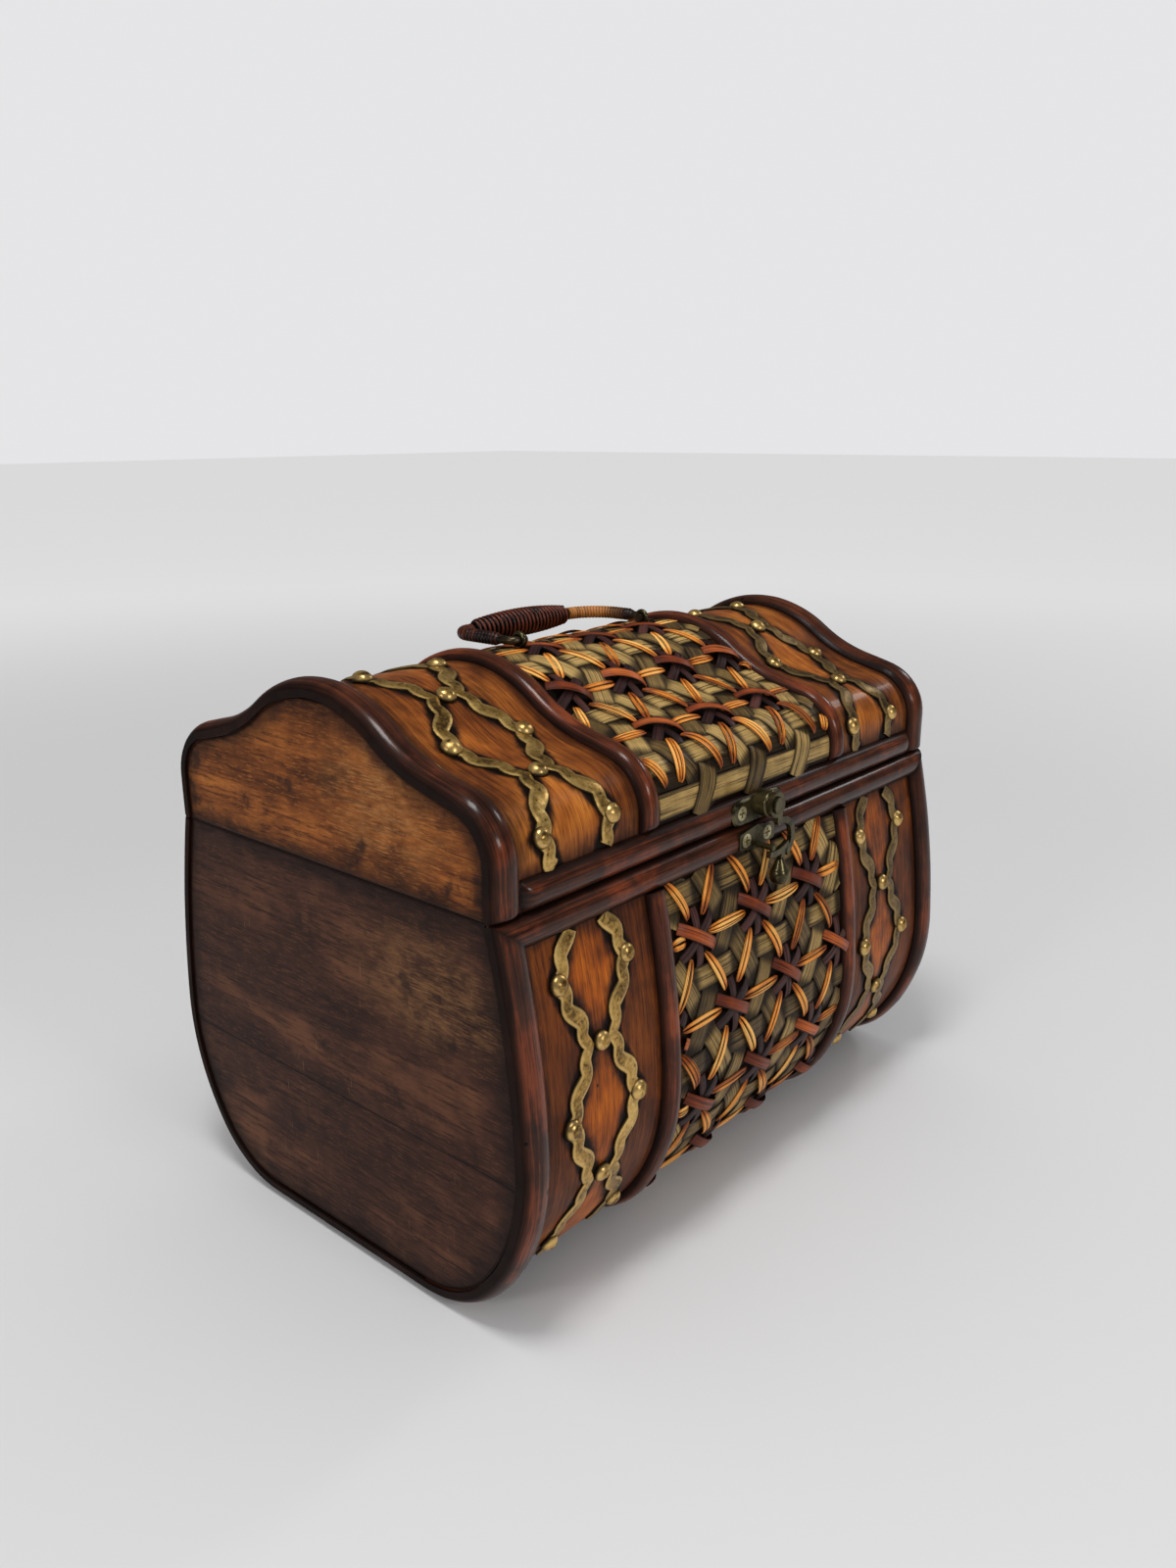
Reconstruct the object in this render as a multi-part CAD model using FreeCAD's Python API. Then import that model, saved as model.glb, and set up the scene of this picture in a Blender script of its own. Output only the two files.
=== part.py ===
import FreeCAD, Part
import os
from math import acos, asin, atan2, copysign, cos, degrees, pi, radians, sin, sqrt, tan
from FreeCAD import Vector

# A camel-backed treasure chest: bent wooden panels on flat end boards, half-round cane beading
# over every edge, a woven middle bay, wavy brass straps held by domed studs, a swing-hook latch
# on the front, two butt hinges on the back and a wrapped carrying handle on the ridge.
# X runs along the chest, the front faces -Y, and Z is up from the surface it stands on.

# Driving sizes of the case, in millimetres and degrees
chest_length = 300.0
mouth_depth = 180.0
body_height = 159.7
lid_height = 65.2
panel_thickness = 2.4
end_thickness = 8.0
bottom_thickness = 5.0
lid_gap = 0.3

# Lid outline, from the ridge down to the rim
dome_radius = 58.0
dome_half_degrees = 35.9
hollow_radius = 77.7
shoulder_slope_degrees = 14.4
shoulder_corner_radius = 20.8

# Body outline, from the rim down to the flat underside
rim_flare_degrees = 14.2
wall_turn_degrees = 12.2
belly_radius = 87.6
belly_turn_degrees = 39.6
foot_radius = 45.9

# Half-round beading
bead_height = 4.5
bead_side = 0.9
foot_flat = 0.5
edge_bead_width = 13.7
rib_width = 10.2
rail_width = 11.5
rib_spread = 144.4

# Clearances
seat_gap = 0.05
joint_gap = 0.15
board_gap = 0.3
overrun = 1.0

half_length = chest_length / 2
half_mouth = mouth_depth / 2
base_height = bead_height - foot_flat
rim_height = base_height + body_height
lid_foot = rim_height + lid_gap
lid_top = lid_foot + lid_height
rib_outer = rib_spread / 2
rib_inner = rib_outer - rib_width
rib_middle = rib_outer - rib_width / 2
edge_bead_inner = half_length - edge_bead_width
UP, DOWN, LEVEL = radians(90), radians(-90), 0.0


class Outline:
    """Half of a bent outline, walked from its middle to the rim; the front half mirrors the back."""

    def __init__(self, height, sense, steps):
        self.pieces = []
        self.sense = sense
        at = Vector(0, 0, height)
        along = 0.0
        for radius, first, last, length in steps:
            if radius:
                length = abs(radius * (last - first))
            self.pieces.append((along, length, radius, first, last, at))
            along += length
            at = self.walk(self.pieces[-1], length, 0)[0]
        self.half = along

    def walk(self, piece, distance, lift):
        start, length, radius, first, last, at = piece
        if not radius:
            out = normal_at(first)
            tangent = Vector(0, -self.sense * out.z, self.sense * out.y)
            return at + tangent * distance + out * lift, first
        angle = first + (last - first) * distance / length
        centre = at - normal_at(first) * radius
        return centre + normal_at(angle) * (radius + lift), angle

    def look(self, s, lift=0.0):
        """Point and outward normal at s along the outline, on the back half where s is positive."""
        far = abs(s)
        piece = [p for p in self.pieces if p[0] <= far][-1]
        point, angle = self.walk(piece, far - piece[0], lift)
        out = normal_at(angle)
        if s < 0:
            point, out = Vector(point.x, -point.y, point.z), Vector(0, -out.y, out.z)
        return point, out

    def edges(self, start, stop, lift, x):
        marks = {start, stop}
        for piece in self.pieces:
            marks |= {m for m in (piece[0], -piece[0]) if start < m < stop}
        marks = sorted(marks)
        return [self.edge(a, b, lift, x) for a, b in zip(marks, marks[1:])]

    def edge(self, a, b, lift, x):
        return curve(*[shifted(self.look(s, lift)[0], x) for s in (a, (a + b) / 2, b)])


straight_share = 0.00001


def curve(first, middle, last):
    """An arc through three points, or a line where they don't bow."""
    bow = (middle - (first + last) / 2).Length
    if bow < (last - first).Length * straight_share:
        return Part.LineSegment(first, last).toShape()
    return Part.Arc(first, middle, last).toShape()


def normal_at(angle):
    return Vector(0, cos(angle), sin(angle))


def shifted(point, x):
    return Vector(x, point.y, point.z)


def lid_outline():
    """The closing lengths are the level shoulder and the upright side, so depth and height hold."""
    dome = radians(dome_half_degrees)
    slope = radians(shoulder_slope_degrees)
    across = dome_radius * sin(dome) + hollow_radius * (sin(dome) - sin(slope))
    across += shoulder_corner_radius * (1 - sin(slope))
    shoulder = (half_mouth - across) / cos(slope)
    drop = dome_radius * (1 - cos(dome)) + hollow_radius * (cos(slope) - cos(dome))
    drop += shoulder * sin(slope) + shoulder_corner_radius * cos(slope)
    steps = [(dome_radius, UP, UP - dome, 0),
             (-hollow_radius, UP - dome, UP - slope, 0),
             (0, UP - slope, UP - slope, shoulder),
             (shoulder_corner_radius, UP - slope, LEVEL, 0),
             (0, LEVEL, LEVEL, lid_height - drop)]
    return Outline(lid_top, -1, steps)


def body_outline():
    """The wall radius closes the height and the flat underside closes the depth."""
    rim = radians(rim_flare_degrees)
    wall = rim - radians(wall_turn_degrees)
    belly = wall - radians(belly_turn_degrees)
    drop = belly_radius * (sin(wall) - sin(belly)) + foot_radius * (sin(belly) + 1)
    wall_radius = (body_height - drop) / (sin(rim) - sin(wall))
    flat = half_mouth + wall_radius * (cos(wall) - cos(rim))
    flat += belly_radius * (cos(belly) - cos(wall)) - foot_radius * cos(belly)
    steps = [(0, DOWN, DOWN, flat),
             (foot_radius, DOWN, belly, 0),
             (belly_radius, belly, wall, 0),
             (wall_radius, wall, rim, 0)]
    return Outline(base_height, 1, steps), flat


LID = lid_outline()
BODY, flat_half = body_outline()


def line(a, b):
    return Part.LineSegment(a, b).toShape()


def loop(points):
    closed = points + points[:1]
    return Part.Wire([line(a, b) for a, b in zip(closed, closed[1:])])


def box(x_from, x_to, y_from, y_to, z_from, z_to):
    size = (x_to - x_from, y_to - y_from, z_to - z_from)
    return Part.makeBox(*size, Vector(x_from, y_from, z_from))


def rod(radius, start, end):
    return Part.makeCylinder(radius, (end - start).Length, start, end - start)


def group(solids):
    return Part.makeCompound([s for shape in solids for s in shape.Solids])


def sheet(outline, start, stop, inner, outer, x_from, x_to):
    """A bent sheet between two lifts off the outline."""
    low = outline.edges(start, stop, inner, x_from)
    high = outline.edges(start, stop, outer, x_from)
    ends = [line(shifted(outline.look(s, inner)[0], x_from),
                 shifted(outline.look(s, outer)[0], x_from)) for s in (start, stop)]
    wire = Part.Wire(Part.__sortEdges__(low + high + ends))
    return Part.Face(wire).extrude(Vector(x_to - x_from, 0, 0))


def filled(outline, lift, x_from, x_to, cut_height):
    """Everything inside the outline, closed at the rim."""
    edges = outline.edges(-outline.half, outline.half, lift, x_from)
    front = shifted(outline.look(-outline.half, lift)[0], x_from)
    back = shifted(outline.look(outline.half, lift)[0], x_from)
    level = [Vector(x_from, front.y, cut_height), Vector(x_from, back.y, cut_height)]
    closing = [line(level[0], level[1])]
    if abs(front.z - cut_height) > straight_share:
        closing += [line(front, level[0]), line(back, level[1])]
    wire = Part.Wire(Part.__sortEdges__(edges + closing))
    return Part.Face(wire).extrude(Vector(x_to - x_from, 0, 0))


def half_round(place, x, width, height, lip=0.0):
    """Half-round section across X at a place of an outline, with a lip over a sheet's end."""
    point, out = place
    at = shifted(point, x)

    def spot(across, lift):
        return at + Vector(across, 0, 0) + out * lift

    half = width / 2
    left, right = -half, half
    edges = [line(spot(left, bead_side), spot(left, lip)),
             Part.Arc(spot(left, bead_side), spot(0, height), spot(right, bead_side)).toShape(),
             line(spot(right, bead_side), spot(right, 0))]
    if lip < 0:
        step = left + lip_width
        edges += [line(spot(left, lip), spot(step, lip)), line(spot(step, lip), spot(step, 0)),
                  line(spot(step, 0), spot(right, 0))]
    else:
        edges += [line(spot(left, 0), spot(right, 0))]
    return Part.Wire(Part.__sortEdges__(edges))


lip_width = 1.2
lip_depth = 2.0


def bead(outline, start, stop, x, width, height, lip=0.0):
    """A half-round bead that follows the outline."""
    path = Part.Wire(outline.edges(start, stop, 0, x))
    section = half_round(outline.look(start), x, width, height, lip)
    return path.makePipeShell([section], True, False)


def mirrored(shape):
    return shape.mirror(Vector(0, 0, 0), Vector(1, 0, 0))


def flipped(shape):
    return shape.mirror(Vector(0, 0, 0), Vector(0, 1, 0))


def edge_bead(outline, start, stop):
    left = bead(outline, start, stop, edge_bead_width / 2 - half_length, edge_bead_width,
                bead_height, -lip_depth)
    return left, mirrored(left)


def rib(outline, start, stop):
    left = bead(outline, start, stop, -rib_middle, rib_width, bead_height)
    return left, mirrored(left)


def on_the_floor(shape):
    """Cut flat what stands on the floor."""
    reach = chest_length
    return shape.common(box(-reach, reach, -reach, reach, 0, reach))


# Wooden case

board_recess = 1.0
joint_height = 68.0
board_corner = 3.0


def body_panels():
    reach = half_length - lip_width - joint_gap
    back = sheet(BODY, flat_half + seat_gap, BODY.half, -panel_thickness, 0, -reach, reach)
    return flipped(back), back


def bottom_board():
    reach = half_length - board_recess - end_thickness - seat_gap
    side = flat_half
    return box(-reach, reach, -side, side, base_height, base_height + bottom_thickness)


def body_end():
    """The left end of the body: two boards, one above the other."""
    outer = -half_length + board_recess
    whole = filled(BODY, -panel_thickness - board_gap, outer, outer + end_thickness, rim_height)
    reach = mouth_depth
    lower = whole.common(box(-half_length, 0, -reach, reach, 0, joint_height))
    upper = whole.common(box(-half_length, 0, -reach, reach, joint_height + seat_gap, lid_top))
    return upper, lower


def lid_shell():
    reach = half_length - lip_width - joint_gap
    return sheet(LID, -LID.half, LID.half, -panel_thickness, 0, -reach, reach)


def lid_end():
    outer = -half_length + board_recess
    board = filled(LID, -panel_thickness - board_gap, outer, outer + end_thickness, lid_foot)
    low = [e for e in board.Edges if is_low_corner(e)]
    return board.makeFillet(board_corner, low)


def is_low_corner(edge):
    ends = [v.Point for v in edge.Vertexes]
    if len(ends) < 2:
        return False
    along_x = abs(ends[0].x - ends[1].x) > end_thickness / 2
    return along_x and all(p.z < lid_foot + seat_gap for p in ends)


# Beading

def body_rail():
    """The back rail: half-round along X, cut level with the rim."""
    place = BODY.look(BODY.half - rail_width / 2)
    rail = straight_bead(place)
    reach = chest_length
    return rail.common(box(-reach, reach, -reach, reach, 0, rim_height))


def straight_bead(place, reach=half_length):
    point, out = place
    along = Vector(0, -out.z, out.y)
    half = rail_width / 2

    def spot(up, lift):
        return Vector(-reach, 0, 0) + point + along * up + out * lift

    edges = [line(spot(-half, 0), spot(-half, bead_side)),
             Part.Arc(spot(-half, bead_side), spot(0, bead_height), spot(half, bead_side)).toShape(),
             line(spot(half, bead_side), spot(half, 0)), line(spot(half, 0), spot(-half, 0))]
    wire = Part.Wire(Part.__sortEdges__(edges))
    return Part.Face(wire).extrude(Vector(reach * 2, 0, 0))


def lid_rail():
    place = LID.look(LID.half - rail_width / 2)
    return straight_bead(place, edge_bead_inner - joint_gap)


# Woven middle bay: one plaited skin over each panel

weave_thickness = 2.3

# Raised strips of the weave: a red one arches over each star, bright ones run from star to star

star_width = 4.8
star_sink = 1.0
star_heading_degrees = 32.0
red_rise = 4.9
red_body_run = 25.6
red_lid_run = 21.2
bright_rise = 3.5
bright_end = 8.6
level_drop = 0.7
star_body_shift = -5.2
star_body_step = 41.0
star_body_row = 35.2
star_body_drop = 36.0
star_lid_shift = 1.9
star_lid_step = 35.2
star_lid_row = 34.6
star_lid_drop = 73.2
star_ridge_room = 14.0


def weave(outline, start, stop):
    reach = rib_inner - joint_gap
    return sheet(outline, start, stop, seat_gap, weave_thickness, -reach, reach)


def raised_strip(outline, place, middle, way, run, rise):
    """An arched strip. Middle and way hold x and the distance down the outline, which place turns round."""
    start, stop = [middle + way * (run / 2 * sign) for sign in (-1, 1)]
    foot = weave_thickness - star_sink
    feet = [shifted(outline.look(place(end.y), foot)[0], end.x) for end in (start, stop)]
    crown, belly = [shifted(outline.look(place(middle.y), lift)[0], middle.x) for lift in (rise, foot)]
    side = (feet[1] - feet[0]).cross(crown - feet[0]).normalize()
    belly -= side * (belly - feet[0]).dot(side)
    across = side * star_width
    wire = Part.Wire([curve(feet[0], crown, feet[1]), curve(feet[1], belly, feet[0])])
    wire.translate(across * -0.5)
    return Part.Face(wire).extrude(across)


def star_strips(outline, place, anchor, step, row, red_run, low, high):
    """Raised strips of a band, but for those that its edges cut and those under the handle."""
    reach = rib_inner - joint_gap - star_width / 2
    first, last = low + star_width / 2, high - star_width / 2
    heading = radians(star_heading_degrees)
    ways = [Vector(step, level_drop, 0), Vector(step / 2, row, 0), Vector(-step / 2, row, 0)]
    rows = int((high - low) / row) + 1
    columns = int(reach * 2 / step) + 1
    found = []
    for i in range(-rows, rows + 1):
        for j in range(-columns, columns + 1):
            star = anchor + Vector((j + i % 2 / 2) * step, i * row, 0)
            plans = [(star, Vector(cos(heading), sin(heading), 0), red_run, red_rise)]
            plans += [(star + way / 2, way / way.Length, way.Length - bright_end * 2, bright_rise)
                      for way in ways]
            for middle, way, run, rise in plans:
                ends = [middle + way * (run / 2 * sign) for sign in (-1, 1)]
                inside = all(abs(end.x) < reach and first < end.y < last for end in ends)
                clear = outline is BODY or abs(middle.y) > star_ridge_room
                if inside and clear:
                    found.append(raised_strip(outline, place, middle, way, run, rise))
    return found


def joined(band, strips):
    """Strips are joined one by one: all at once leaves some of them loose."""
    for strip_solid in strips:
        band = band.fuse(strip_solid)
    return band


def body_weave(stop):
    """The back band; the front one is its mirror."""
    strips = star_strips(BODY, lambda down: BODY.half - down, Vector(star_body_shift, star_body_drop, 0),
                         star_body_step, star_body_row, red_body_run, BODY.half - stop,
                         BODY.half - flat_half)
    return joined(weave(BODY, flat_half, stop), strips)


def lid_weave(stop):
    strips = star_strips(LID, lambda down: -down, Vector(star_lid_shift, star_lid_drop, 0),
                         star_lid_step, star_lid_row, red_lid_run, -stop, stop)
    return joined(weave(LID, -stop, stop), strips)


# Brass straps: two zigzag strips in each wooden bay, cut in wavy lengths that meet at the studs

strap_left_shift = 1.55
strap_right_shift = 3.05
strap_swing_share = 0.568
strap_pinch = 7.0
strap_width = 8.0
strap_thickness = 0.8
strap_wave = 1.2
strap_mitre_gap = 0.15
strap_first_drop = 28.9
strap_body_pitch = 54.2
strap_lid_pitch = 51.1
strap_tail = 14.0
wave_shares = (0.0, 0.27, 0.5, 0.73, 1.0)

stud_radius = 3.9
stud_rise = 2.4
stud_lift = 0.2
nail_radius = 0.9
nail_grip = 2.0

bay_half = (edge_bead_inner - rib_outer) / 2
strap_left_middle = -rib_outer - bay_half - strap_left_shift
strap_right_middle = rib_outer + bay_half - strap_right_shift
strap_middles = (strap_left_middle, strap_right_middle)
strap_swing = bay_half * strap_swing_share
nail_room = nail_radius + stud_lift


def strap_stops(first, pitch, low, high):
    """Places along the outline where a strip turns, with True where it is at its widest swing."""
    half_pitch = pitch / 2
    count = int((high - first) / half_pitch)
    stops = [(first + i * half_pitch, i % 2 == 0) for i in range(count + 1)]
    before = int((first - low) / half_pitch)
    stops = [(first - i * half_pitch, i % 2 == 0) for i in range(before, 0, -1)] + stops
    return stops


def strap_x(stops, s, side, pitch):
    """Where a strip's middle lies at s: a straight zigzag through its stops."""
    at, wide = stops[0]
    phase = abs((s - at) / (pitch / 2)) % 2
    share = phase if phase <= 1 else 2 - phase
    near, far = (strap_swing, strap_pinch) if wide else (strap_pinch, strap_swing)
    return side * (near + (far - near) * share)


def strap_length(outline, middle, side, stops, pitch, start, stop):
    """One wavy length of strap, cut out of a thin skin over the outline."""
    centre = (start + stop) / 2
    base, out = outline.look(centre, strap_thickness)
    away = out * (strap_width / 2)
    rise = strap_x(stops, stop, side, pitch) - strap_x(stops, start, side, pitch)
    heading = copysign(1, rise)

    def spot(share, edge_side, bulge):
        s = start + (stop - start) * share
        x = middle + strap_x(stops, s, side, pitch) + edge_side * strap_width / 2 + bulge
        on = shifted(outline.look(s, strap_thickness)[0], x)
        return on - out * (on - base).dot(out) - away

    def wavy(edge_side):
        arcs = []
        for i, (a, b) in enumerate(zip(wave_shares, wave_shares[1:])):
            bulge = strap_wave * heading * (-1) ** i
            arcs.append(Part.Arc(spot(a, edge_side, 0), spot((a + b) / 2, edge_side, bulge),
                                 spot(b, edge_side, 0)).toShape())
        return arcs

    ends = [line(spot(share, -1, 0), spot(share, 1, 0)) for share in (0.0, 1.0)]
    sides = wavy(-1) + wavy(1)
    wire = Part.Wire(Part.__sortEdges__(sides + ends))
    cutter = Part.Face(wire).extrude(away * 2)
    skin_low, skin_high = min(start, stop), max(start, stop)
    reach = strap_swing + strap_width
    skin = sheet(outline, skin_low, skin_high, seat_gap, strap_thickness, middle - reach,
                 middle + reach)
    return skin.common(cutter)


def strip(outline, middle, side, first, pitch, low, high):
    """All the lengths of one strip between two places on the outline."""
    stops = strap_stops(first, pitch, low, high)
    marks = [low] + [s for s, wide in stops if low < s < high] + [high]
    gaps = [0.0] + [nail_room if wide else strap_mitre_gap for s, wide in stops if low < s < high]
    gaps += [0.0]
    pieces = []
    for i in range(len(marks) - 1):
        start, stop = marks[i] + gaps[i], marks[i + 1] - gaps[i + 1]
        if stop - start > strap_width / 2:
            pieces.append(strap_length(outline, middle, side, stops, pitch, start, stop))
    return pieces


def lid_strips(middle):
    reach = LID.half - rail_width - joint_gap
    found = []
    for side in (-1, 1):
        found += strip(LID, middle, side, 0.0, strap_lid_pitch, -reach, reach)
    return group(found)


def body_strips(middle):
    """The strips of a back bay; the front's are its mirror."""
    low = BODY.half - strap_first_drop - strap_body_pitch * 2 - strap_tail
    high = BODY.half - rail_width - joint_gap
    first = BODY.half - strap_first_drop
    found = []
    for side in (-1, 1):
        found += strip(BODY, middle, side, first, strap_body_pitch, low, high)
    return group(found)


def stud(outline, s, x):
    """A domed nail: its head sits on the strap, its shank is driven into the panel."""
    point, out = outline.look(s, strap_thickness + stud_lift)
    at = shifted(point, x)
    ball = (stud_radius ** 2 + stud_rise ** 2) / (2 * stud_rise)
    dome = Part.makeSphere(ball, at + out * (stud_rise - ball), out)
    head = dome.common(rod(stud_radius * 2, at, at + out * ball * 2))
    shank = rod(nail_radius, at + out * (stud_rise / 2), at - out * (nail_grip + strap_thickness))
    return head.fuse(shank).removeSplitter()


def lid_studs():
    side_rows = [i * strap_lid_pitch for i in (-2, -1, 0, 1, 2)]
    middle_rows = [(i + 0.5) * strap_lid_pitch for i in (-2, -1, 0, 1)]
    studs = [stud(LID, s, middle + side * strap_swing)
             for middle in strap_middles for s in side_rows for side in (-1, 1)]
    studs += [stud(LID, s, middle) for middle in strap_middles for s in middle_rows]
    return group(studs)


def body_studs():
    """The studs of the back, both bays."""
    first = BODY.half - strap_first_drop
    side_rows = [first - i * strap_body_pitch for i in (0, 1, 2)]
    middle_rows = [first - (i + 0.5) * strap_body_pitch for i in (0, 1)]
    studs = [stud(BODY, s, middle + side * strap_swing)
             for middle in strap_middles for s in side_rows for side in (-1, 1)]
    studs += [stud(BODY, s, middle) for middle in strap_middles for s in middle_rows]
    return group(studs)


# Wood screws with a cross recess

screw_head = 3.0
screw_cone = 1.5
screw_shank = 1.2
screw_grip = 6.0
recess_width = 0.8
recess_depth = 0.9
recess_reach_share = 0.66


def screw(at, out):
    """A countersunk screw whose flat head is level with the point given, and points along out."""
    head = Part.makeCone(screw_shank, screw_head, screw_cone, at - out * screw_cone, out)
    whole = head.fuse(rod(screw_shank, at - out * (screw_cone / 2), at - out * screw_grip))
    arm = screw_head * recess_reach_share
    slot = box(-arm, arm, -recess_width / 2, recess_width / 2, -recess_depth, overrun)
    cross = slot.fuse(box(-recess_width / 2, recess_width / 2, -arm, arm, -recess_depth, overrun))
    cross.Placement = FreeCAD.Placement(at, FreeCAD.Rotation(Vector(0, 0, 1), out))
    return whole.cut(cross).removeSplitter()


def screw_seat(at, out):
    """The room that a screw takes in a plate."""
    wide = screw_head + seat_gap * 2
    narrow = screw_shank + seat_gap * 2
    cone = Part.makeCone(narrow, wide, screw_cone, at - out * screw_cone, out)
    return cone.fuse(rod(narrow, at + out * overrun, at - out * screw_grip)).fuse(
        rod(wide, at, at + out * overrun))


# Swing-hook latch on the front

OUT = Vector(0, -1, 0)
latch_rail_flat = 1.0
latch_plate_width = 36.6
latch_plate_height = 11.0
latch_plate_thickness = 1.6
latch_screw_place = 12.0
boss_radius = 5.6
boss_height = 6.7
post_radius = 2.5
post_head_radius = 3.6
post_head_height = 0.9
hook_thickness = 2.0
hook_ring_radius = 5.3
hook_play = 0.3
pin_radius = 1.3
pin_drop = 17.6
pin_shift = -2.5
catch_width = 25.0
catch_height = 10.6
catch_thickness = 1.4
catch_rail_face = 95.0
catch_screw_place = 7.5
lobe_share = 0.5

latch_seat = half_mouth + bead_height - latch_rail_flat
latch_face = latch_seat + latch_plate_thickness
boss_face = latch_face + boss_height
hook_inner = boss_face + hook_play
hook_outer = hook_inner + hook_thickness
post_height = lid_foot + rail_width / 2 + post_radius
pin_height = post_height - pin_drop
catch_face = catch_rail_face + catch_thickness
latch_middle = lid_foot + rail_width / 2
catch_middle = rim_height - rail_width / 2


def front(x, out, z):
    return Vector(x, -out, z)


def latch_screw_points():
    return [front(side * latch_screw_place, latch_face, latch_middle) for side in (-1, 1)]


def latch_plate():
    """A plate with rounded ends, bevelled lobes and a raised round boss."""
    half = latch_plate_width / 2
    lobe = latch_plate_height / 2
    middle = box(lobe - half, half - lobe, -latch_face, -latch_seat, latch_middle - lobe,
                 latch_middle + lobe)
    plate = middle
    for side in (-1, 1):
        end = side * (half - lobe)
        plate = plate.fuse(rod(lobe, front(end, latch_seat, latch_middle),
                               front(end, latch_face, latch_middle)))
    plate = plate.removeSplitter()
    rim = [e for e in plate.Edges if all(abs(v.Y + latch_face) < seat_gap for v in e.Vertexes)]
    plate = plate.makeChamfer(latch_plate_thickness * lobe_share, rim)
    boss = rod(boss_radius, front(0, latch_face - seat_gap, post_height),
               front(0, boss_face, post_height))
    boss = boss.makeFillet(boss_height / boss_fillet_share, top_edges(boss, boss_face))
    plate = plate.fuse(boss)
    for at in latch_screw_points():
        plate = plate.cut(screw_seat(at, OUT))
    hole = rod(post_radius, front(0, latch_seat - overrun, post_height),
               front(0, boss_face + overrun, post_height))
    return plate.cut(hole).removeSplitter()


boss_fillet_share = 6.0


def top_edges(shape, face):
    return [e for e in shape.Edges if all(abs(v.Y + face) < seat_gap / 2 for v in e.Vertexes)]


def latch_post():
    """The riveted post that the hook turns on."""
    stem = rod(post_radius - seat_gap, front(0, latch_seat, post_height),
               front(0, hook_outer + hook_play, post_height))
    head = rod(post_head_radius, front(0, hook_outer + hook_play, post_height),
               front(0, hook_outer + hook_play + post_head_height, post_height))
    return stem.fuse(head).removeSplitter()


arm_radius = 8.2
arm_width = 2.7
arm_shift = 4.4
arm_drop = 15.6
finger_room = 0.5
finger_width = 2.6
finger_start_degrees = -101.0
finger_stop_degrees = -62.0
arm_start_degrees = -60.0
arm_stop_degrees = 112.0
neck_width = 3.6
knob_radius = 4.4
knob_shift = 4.6
knob_drop = 31.2
knob_neck = 1.5


def band(centre_x, centre_z, inner, outer, first, last):
    """Part of a flat ring in the plane of the hook."""
    start = front(centre_x, hook_inner, centre_z)
    across = hook_outer - hook_inner
    middle = (first + last) / 2

    def spot(radius, angle):
        return start + Vector(cos(angle), 0, sin(angle)) * radius

    edges = [Part.Arc(spot(inner, first), spot(inner, middle), spot(inner, last)).toShape(),
             Part.Arc(spot(outer, first), spot(outer, middle), spot(outer, last)).toShape(),
             line(spot(inner, first), spot(outer, first)),
             line(spot(inner, last), spot(outer, last))]
    wire = Part.Wire(Part.__sortEdges__(edges))
    return Part.Face(wire).extrude(Vector(0, -across, 0))


def bar(start, end, width):
    """A flat bar with round ends in the plane of the hook."""
    along = (end - start).normalize()
    side = Vector(-along.z, 0, along.x) * (width / 2)
    wire = loop([start + side, start - side, end - side, end + side])
    across = Vector(0, hook_inner - hook_outer, 0)
    flat = Part.Face(wire).extrude(across)
    for end_point in (start, end):
        flat = flat.fuse(rod(width / 2, end_point, end_point + across))
    return flat


def latch_hook():
    """Ring, bowed arm, finger under the pin, tail and knob, all in one plane."""
    ring = rod(hook_ring_radius, front(0, hook_inner, post_height),
               front(0, hook_outer, post_height))
    arm = band(arm_shift, post_height - arm_drop, arm_radius - arm_width / 2,
               arm_radius + arm_width / 2, radians(arm_start_degrees), radians(arm_stop_degrees))
    pin_reach = sqrt(pin_drop ** 2 + pin_shift ** 2) + pin_radius
    inner = pin_reach + finger_room
    finger = band(0, post_height, inner, inner + finger_width, radians(finger_start_degrees),
                  radians(finger_stop_degrees))
    top = front(arm_shift / 2, hook_inner, post_height - arm_drop + arm_radius)
    neck = bar(front(arm_shift / 2, hook_inner, post_height - hook_ring_radius / 2), top, neck_width)
    tail_top = front(arm_shift + knob_neck, hook_inner, post_height - inner - finger_width / 3)
    knob_top = front(knob_shift, hook_inner, post_height - knob_drop + knob_radius / 2)
    tail = bar(tail_top, knob_top, arm_width)
    whole = ring.fuse([arm, finger, neck, tail])
    middle = (hook_inner + hook_outer) / 2
    centre = front(knob_shift, middle, post_height - knob_drop)
    knob = Part.makeSphere(knob_radius, centre)
    crown = centre + Vector(0, 0, knob_radius * knob_cone_share)
    cone = Part.makeCone(knob_radius * knob_neck_share, knob_neck, knob_radius, crown)
    whole = whole.fuse([knob, cone])
    hole = rod(post_radius, front(0, hook_inner - overrun, post_height),
               front(0, hook_outer + overrun, post_height))
    return whole.cut(hole).removeSplitter()


knob_cone_share = 0.6
knob_neck_share = 0.8


def catch_screw_points():
    return [front(pin_shift + side * catch_screw_place, catch_face, catch_middle)
            for side in (-1, 1)]


def catch_plate():
    """A diamond-shaped plate with clipped ends on the body rail."""
    half, rise = catch_width / 2, catch_height / 2
    end = rise * catch_end_share
    outline = [(-half, -end), (-half, end), (0, rise), (half, end), (half, -end), (0, -rise)]
    points = [front(pin_shift + x, catch_rail_face, catch_middle + z) for x, z in outline]
    plate = Part.Face(loop(points)).extrude(OUT * catch_thickness)
    plate = plate.makeFillet(catch_end_round, [e for e in plate.Edges if runs_out(e)])
    for at in catch_screw_points():
        plate = plate.cut(screw_seat(at, OUT))
    hole = rod(pin_radius, front(pin_shift, catch_rail_face - overrun, pin_height),
               front(pin_shift, catch_face + overrun, pin_height))
    return plate.cut(hole).removeSplitter()


catch_end_share = 0.62
catch_end_round = 1.2


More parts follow.
